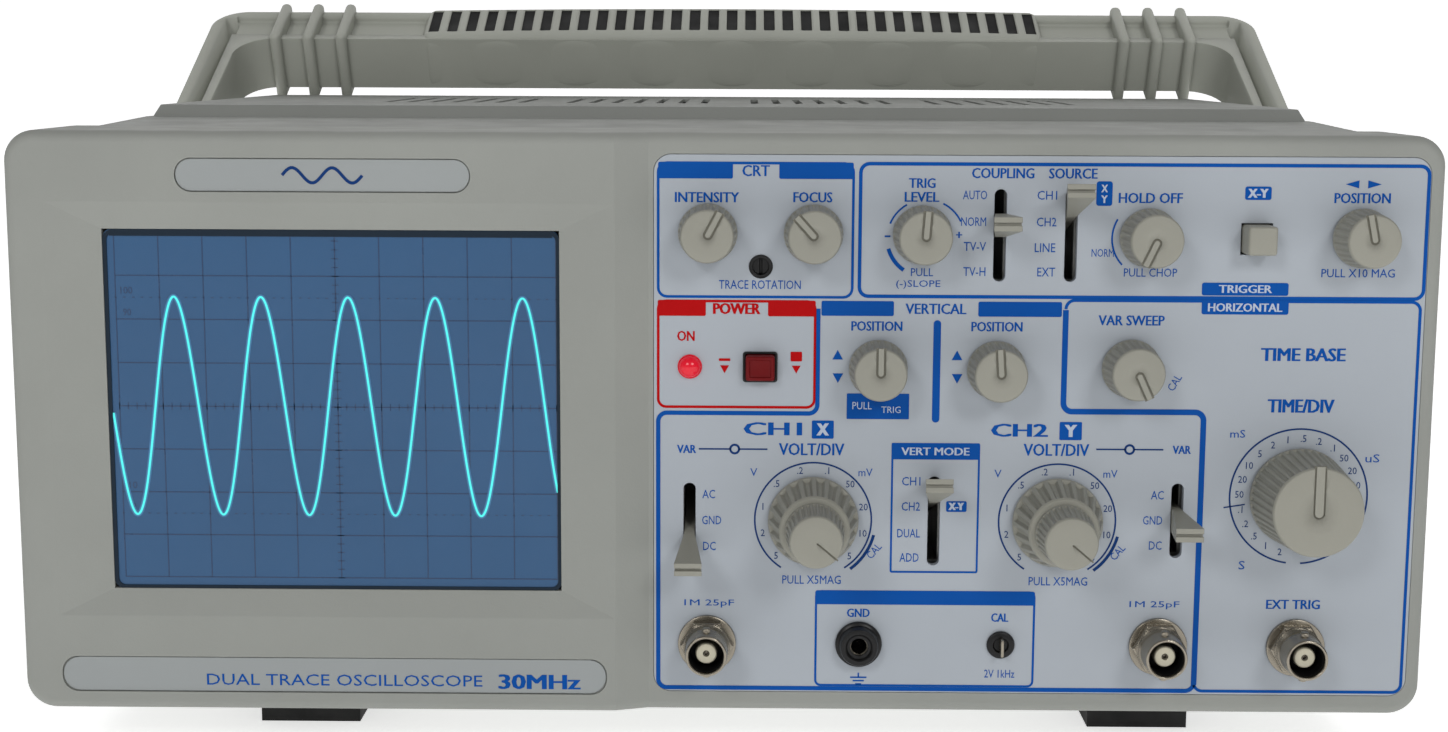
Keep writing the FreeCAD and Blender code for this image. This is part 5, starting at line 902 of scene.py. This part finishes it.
def make_print():
    sheets = {ink: Sheet() for ink in ("blue", "red", "navy", "pale")}
    sheets["pale"].level = FACE - PROUD - 0.00003
    blue, red, navy = sheets["blue"], sheets["red"], sheets["navy"]
    for ink, rows in WORDS.items():
        for row in rows:
            sheets[ink].words(*row)
    for ink, rows in BARS.items():
        for left, low, right, high, corner in rows:
            sheets[ink].area(round_rectangle(left, low, right, high, corner))
    for ink, rows in FRAMES.items():
        for left, low, right, high, corner, width in rows:
            sheets[ink].line(round_rectangle(left, low, right, high, corner), width, True)
    # one heavy line between the vertical, input and horizontal sections
    shared = [(77.5, 27.5)] + arc_points(79.5, 6.2, 2.0, 270, 180)
    shared += arc_points(107.5, 2.2, 2.0, 0, 90) + [(109.5, -60.0)]
    blue.line(shared, 1.3, lift=0.000015)
    # round the input section and up the left side of the vertical one
    inputs = arc_points(107.5, -59.4, 2.0, 90, 180) + arc_points(-12.8, -59.4, 2.0, 180, 270)
    inputs += arc_points(-12.8, 1.4, 2.0, 270, 360)
    inputs += arc_points(19.5, 5.4, 2.0, 180, 90) + [(21.5, 27.5)]
    blue.line(inputs, 1.0)
    sweep = arc_points(79.5, 27.7, 2.0, 270, 360) + arc_points(155.4, 27.7, 2.0, 0, 90)
    sweep += arc_points(155.4, -59.4, 2.0, 90, 180) + arc_points(111.5, -59.4, 2.0, 180, 270)
    blue.line(sweep, 0.7)
    for x, up, half, rise in ((26.0, 15.9, 1.2, 2.2), (26.1, 12.7, 1.2, -2.2),
                              (53.1, 15.9, 1.2, 2.2), (53.2, 12.7, 1.2, -2.2)):
        blue.area(triangle(x, up, half, rise))
    blue.area(arrow(142.3, 56.2, 0.9, -3.0))
    blue.area(arrow(144.3, 56.2, 0.9, 3.0))
    for x, rise in ((0.3, 1.1), (16.6, 1.1)):
        red.area(round_rectangle(x - 1.3, 15.4, x + 1.3, 16.0 if x < 8 else 17.6, 0.2))
        red.area([(x - 1.0, 14.4), (x, 12.6), (x + 1.0, 14.4)])
    for x, up, radius, start, end, width in (
            (45.5, 43.6, 8.7, 292, 330, 0.4), (45.5, 43.6, 8.7, 26, 64, 0.4),
            (45.5, 43.6, 8.7, 214, 254, 0.9), (96.0, 43.8, 8.6, 226, 300, 0.4)):
        blue.line(arc_points(x, up, radius, start, end), width)
    for x in (20.8, 76.8):
        dial(navy, x, -21.4, 13.4, -147, 147, "5 2 1 .5 .2 .1 50 20 10 5".split(),
             -135, 30, 11.95, 1.6)
        navy.line(arc_points(x, -21.4, 14.4, 104, 143, 4.0), 0.7)
    dial(navy, 131.8, -15.2, 15.7, -172, 176,
         ("2", "1", ".5", ".2", ".1", "50", "20", "10", "5", "2", "1", ".5", ".2", ".1", "50",
          "20", "10", "5", "2", "1", ".5", ".2"), -164, 15.15, 13.5, 1.6)
    edge = math.radians(261)
    navy.line([(131.8 + reach * math.sin(edge), -15.2 + reach * math.cos(edge))
               for reach in (12.3, 17.2)], 0.3)
    for left, right, ring in ((-5.5, 10.2, 2.7), (85.3, 100.6, 92.9)):
        up = -4.95 if left < 0 else -4.5
        navy.line([(left, up), (ring - 0.9, up)], 0.35)
        navy.line([(ring + 0.9, up), (right, up)], 0.35)
        navy.line(arc_points(ring, up, 1.0, 0, 345, 15.0), 0.5, True)
    for drop, half in ((0.0, 1.9), (0.8, 1.3), (1.6, 0.7)):
        blue.line([(31.7 - half, -58.7 - drop), (31.7 + half, -58.7 - drop)], 0.35)
    blue.line([(31.7, -57.6), (31.7, -58.6)], 0.35)
    for ink, sheet in sheets.items():
        sheet.done(f"print_{ink}", ink, "panel_paint")


def make_badges():
    """Plates in the two seats of the screen side, the lower one with the plain type line."""
    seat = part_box("front_bezel")[0].y + 0.0006
    for name, x, up, wide, tall in (
            ("upper", -90, 57.2, 66.0, 7.2), ("lower", -89.8, -58.4, 126, 8.0)):
        mesh = bmesh.new()
        outline = round_rectangle(x - wide / 2, up - tall / 2, x + wide / 2, up + tall / 2,
                                  tall / 2 - 0.1)
        add_prism(mesh, [(px * MM, MIDDLE + pz * MM) for px, pz in outline], seat - 0.00035,
                  seat + 0.00002)
        place_piece(settle(f"plate_{name}", mesh, INKS["badge"], 30.0), "root", "case_plastic")
    sheet = Sheet(seat - 0.00035)
    sheet.words("DUAL TRACE OSCILLOSCOPE", -87.5, -59.6, 64.0, 2.7)
    sheet.words("30MHz", -42.25, -59.7, 19.1, 3.5, 3)
    sheet.done("badge_words", "blue", "case_plastic")
    glyph = Sheet(seat - 0.00035)
    wave = [(-99 + k * 0.5, 57.2 + 1.7 * math.sin(k * 0.5 / 9 * 2 * math.pi)) for k in range(37)]
    glyph.line(wave, 0.7)
    glyph.done("badge_wave", "navy", "case_plastic")


# ------------------------ screen

SCREEN_X, SCREEN_UP = -87.95, 4.3              # middle of the graticule
WINDOW = (-140.4, -38.25, -37.2, 44.85)         # left, low, right, high of the window
TRACE_SWING, TRACE_PERIOD, TRACE_CREST = 25.2, 19.8, 2.8


def make_screen():
    """Graticule lines, their percent marks and a sine trace on the front of the filter."""
    level = FACE - 0.0005
    left, low, right, high = WINDOW
    pane = bmesh.new()
    outline = round_rectangle(left, low, right, high, 2.0)
    add_prism(pane, [(x * MM, MIDDLE + z * MM) for x, z in outline], level,
              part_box("screen_filter")[1].y)
    place_piece(settle("screen_pane", pane, FINISHES["screen_filter"], 30.0), "root",
                "screen_filter", "screen_filter")
    # Painted shadow: a dark band round the window's edge and another along its top, where the recess
    # shades the screen.
    shadow_band = Sheet(level)
    shadow_band.line(round_rectangle(left + 0.4, low + 0.2, right - 0.2, high - 0.5, 2.0), 0.9, True,
                lift=0.00025)
    shadow_band.line([(left + 1.5, high - 1.2), (right - 1.5, high - 1.2)], 0.7, lift=0.0002)
    shadow_band.done("screen_shadow_band", "deep", "screen_filter")
    sheet = Sheet(level)
    # (upright marks, level marks, their pitch, half length, width)
    for across, upward, pitch, half, width in ((5, 0, 10, 40, 0.22), (0, 4, 10, 50, 0.22),
                                               (25, 0, 2, 0.8, 0.18), (0, 20, 2, 0.8, 0.18)):
        for index in range(-across, across + 1) if across else ():
            x = SCREEN_X + index * pitch
            sheet.line([(x, SCREEN_UP - half), (x, SCREEN_UP + half)], width)
        for index in range(-upward, upward + 1) if upward else ():
            up = SCREEN_UP + index * pitch
            sheet.line([(SCREEN_X - half, up), (SCREEN_X + half, up)], width)
    for up in (SCREEN_UP - 25, SCREEN_UP + 25):
        for x in (SCREEN_X + index * 2 for index in range(-25, 26)):
            sheet.line([(x - 0.3, up), (x + 0.3, up)], 0.2)
    for mark, up in (("100", 25), ("90", 20), ("10", -20), ("0", -25)):
        sheet.words(mark, SCREEN_X - 47.5, SCREEN_UP + up + 1.6, 0.9 * len(mark), 1.6)
    sheet.done("graticule", "graticule", "screen_filter")
    glow = finish("trace_glow", (60, 190, 190), 0.4, drift=0.05, soft_edge=0.0,
                  glow=(70, 220, 212), glow_strength=0.62)
    halo = finish("trace_halo", (56, 108, 150), 0.4, drift=0.05, soft_edge=0.0,
                  glow=(60, 125, 170), glow_strength=0.1)
    points = []
    for step in range(481):
        x = left + 1 + step * (right - left - 1.6) / 480
        swing = math.cos(2 * math.pi * (x - SCREEN_X - TRACE_CREST) / TRACE_PERIOD)
        points.append((x, SCREEN_UP + TRACE_SWING * swing))
    for name, width, mat, lift in (("trace_edge", 1.2, halo, 0.00003),
                                   ("trace_core", 0.5, glow, 0.00006)):
        trace = Sheet(level - lift)
        trace.line(points, width)
        place_piece(settle(name, trace.mesh, mat, 20.0), "root", "screen_filter")


# ------------------------ stage

def make_backdrop():
    """A pale floor that sweeps up far behind the object."""
    profile = [(-4.0, 0.0), (2.6, 0.0)]
    bend, centre = 1.2, (2.6, 1.2)
    for step in range(1, 13):
        angle = math.radians(step * 90 / 12)
        profile.append((centre[0] + bend * math.sin(angle), centre[1] - bend * math.cos(angle)))
    profile.append((3.8, 5.0))
    wide = 6.0
    points = [(x, y, z) for y, z in profile for x in (-wide, wide)]
    faces = [(2 * i, 2 * i + 1, 2 * i + 3, 2 * i + 2) for i in range(len(profile) - 1)]
    mesh = bpy.data.meshes.new("backdrop")
    mesh.from_pydata(points, [], faces)
    mesh.shade_smooth()
    backdrop = bpy.data.objects.new("backdrop", mesh)
    scene.collection.objects.link(backdrop)
    mesh.materials.append(finish("backdrop_paper", (250, 250, 250), 0.9, drift=0.003,
                                 soft_edge=0.0, glow=(255, 255, 255), glow_strength=0.62))


def area_light(name, place, target, wide, tall, power, tint=(1, 1, 1)):
    light = bpy.data.lights.new(name, "AREA")
    light.shape = "RECTANGLE"
    light.size, light.size_y = wide, tall
    light.energy = power
    light.color = tint
    lamp = bpy.data.objects.new(name, light)
    scene.collection.objects.link(lamp)
    lamp.location = place
    lamp.rotation_euler = (Vector(target) - Vector(place)).to_track_quat("-Z", "Y").to_euler()


def make_camera():
    """The photograph's view: just above the bezel, turned a little left and tipped down."""
    camera = bpy.data.cameras.new("camera")
    camera.sensor_width = 36.0
    camera.lens = 52.36
    camera.clip_start, camera.clip_end = 0.01, 50.0
    thing = bpy.data.objects.new("camera", camera)
    scene.collection.objects.link(thing)
    pitch, yaw, roll = math.radians(8.37), math.radians(0.571), math.radians(0.25)
    thing.location = (0.0049, -0.6501, 0.164)
    turn = (Matrix.Rotation(yaw, 4, "Z") @ Matrix.Rotation(math.pi / 2 - pitch, 4, "X")
            @ Matrix.Rotation(roll, 4, "Z"))
    thing.rotation_euler = turn.to_euler()
    scene.camera = thing


def make_world():
    world = bpy.data.worlds.new("studio")
    world.use_nodes = True
    back = world.node_tree.nodes["Background"]
    back.inputs["Color"].default_value = (1, 1, 1, 1)
    back.inputs["Strength"].default_value = 0.22
    scene.world = world


make_knobs()
make_handle()
make_grip()
make_sockets()
make_small_parts()
make_print()
make_badges()
make_screen()
make_backdrop()
make_camera()
make_world()
area_light("key_right", (0.65, -1.48, 0.86), (0.03, -0.17, 0.08), 0.4, 0.4, 6.5)
area_light("key_left", (-0.65, -1.48, 0.86), (0.0, -0.17, 0.08), 0.4, 0.4, 6)
area_light("overhead", (0.0, 0.3, 1.6), (0.0, 0.0, 0.1), 1.2, 1.2, 3.5)
scene.view_settings.view_transform = "Standard"
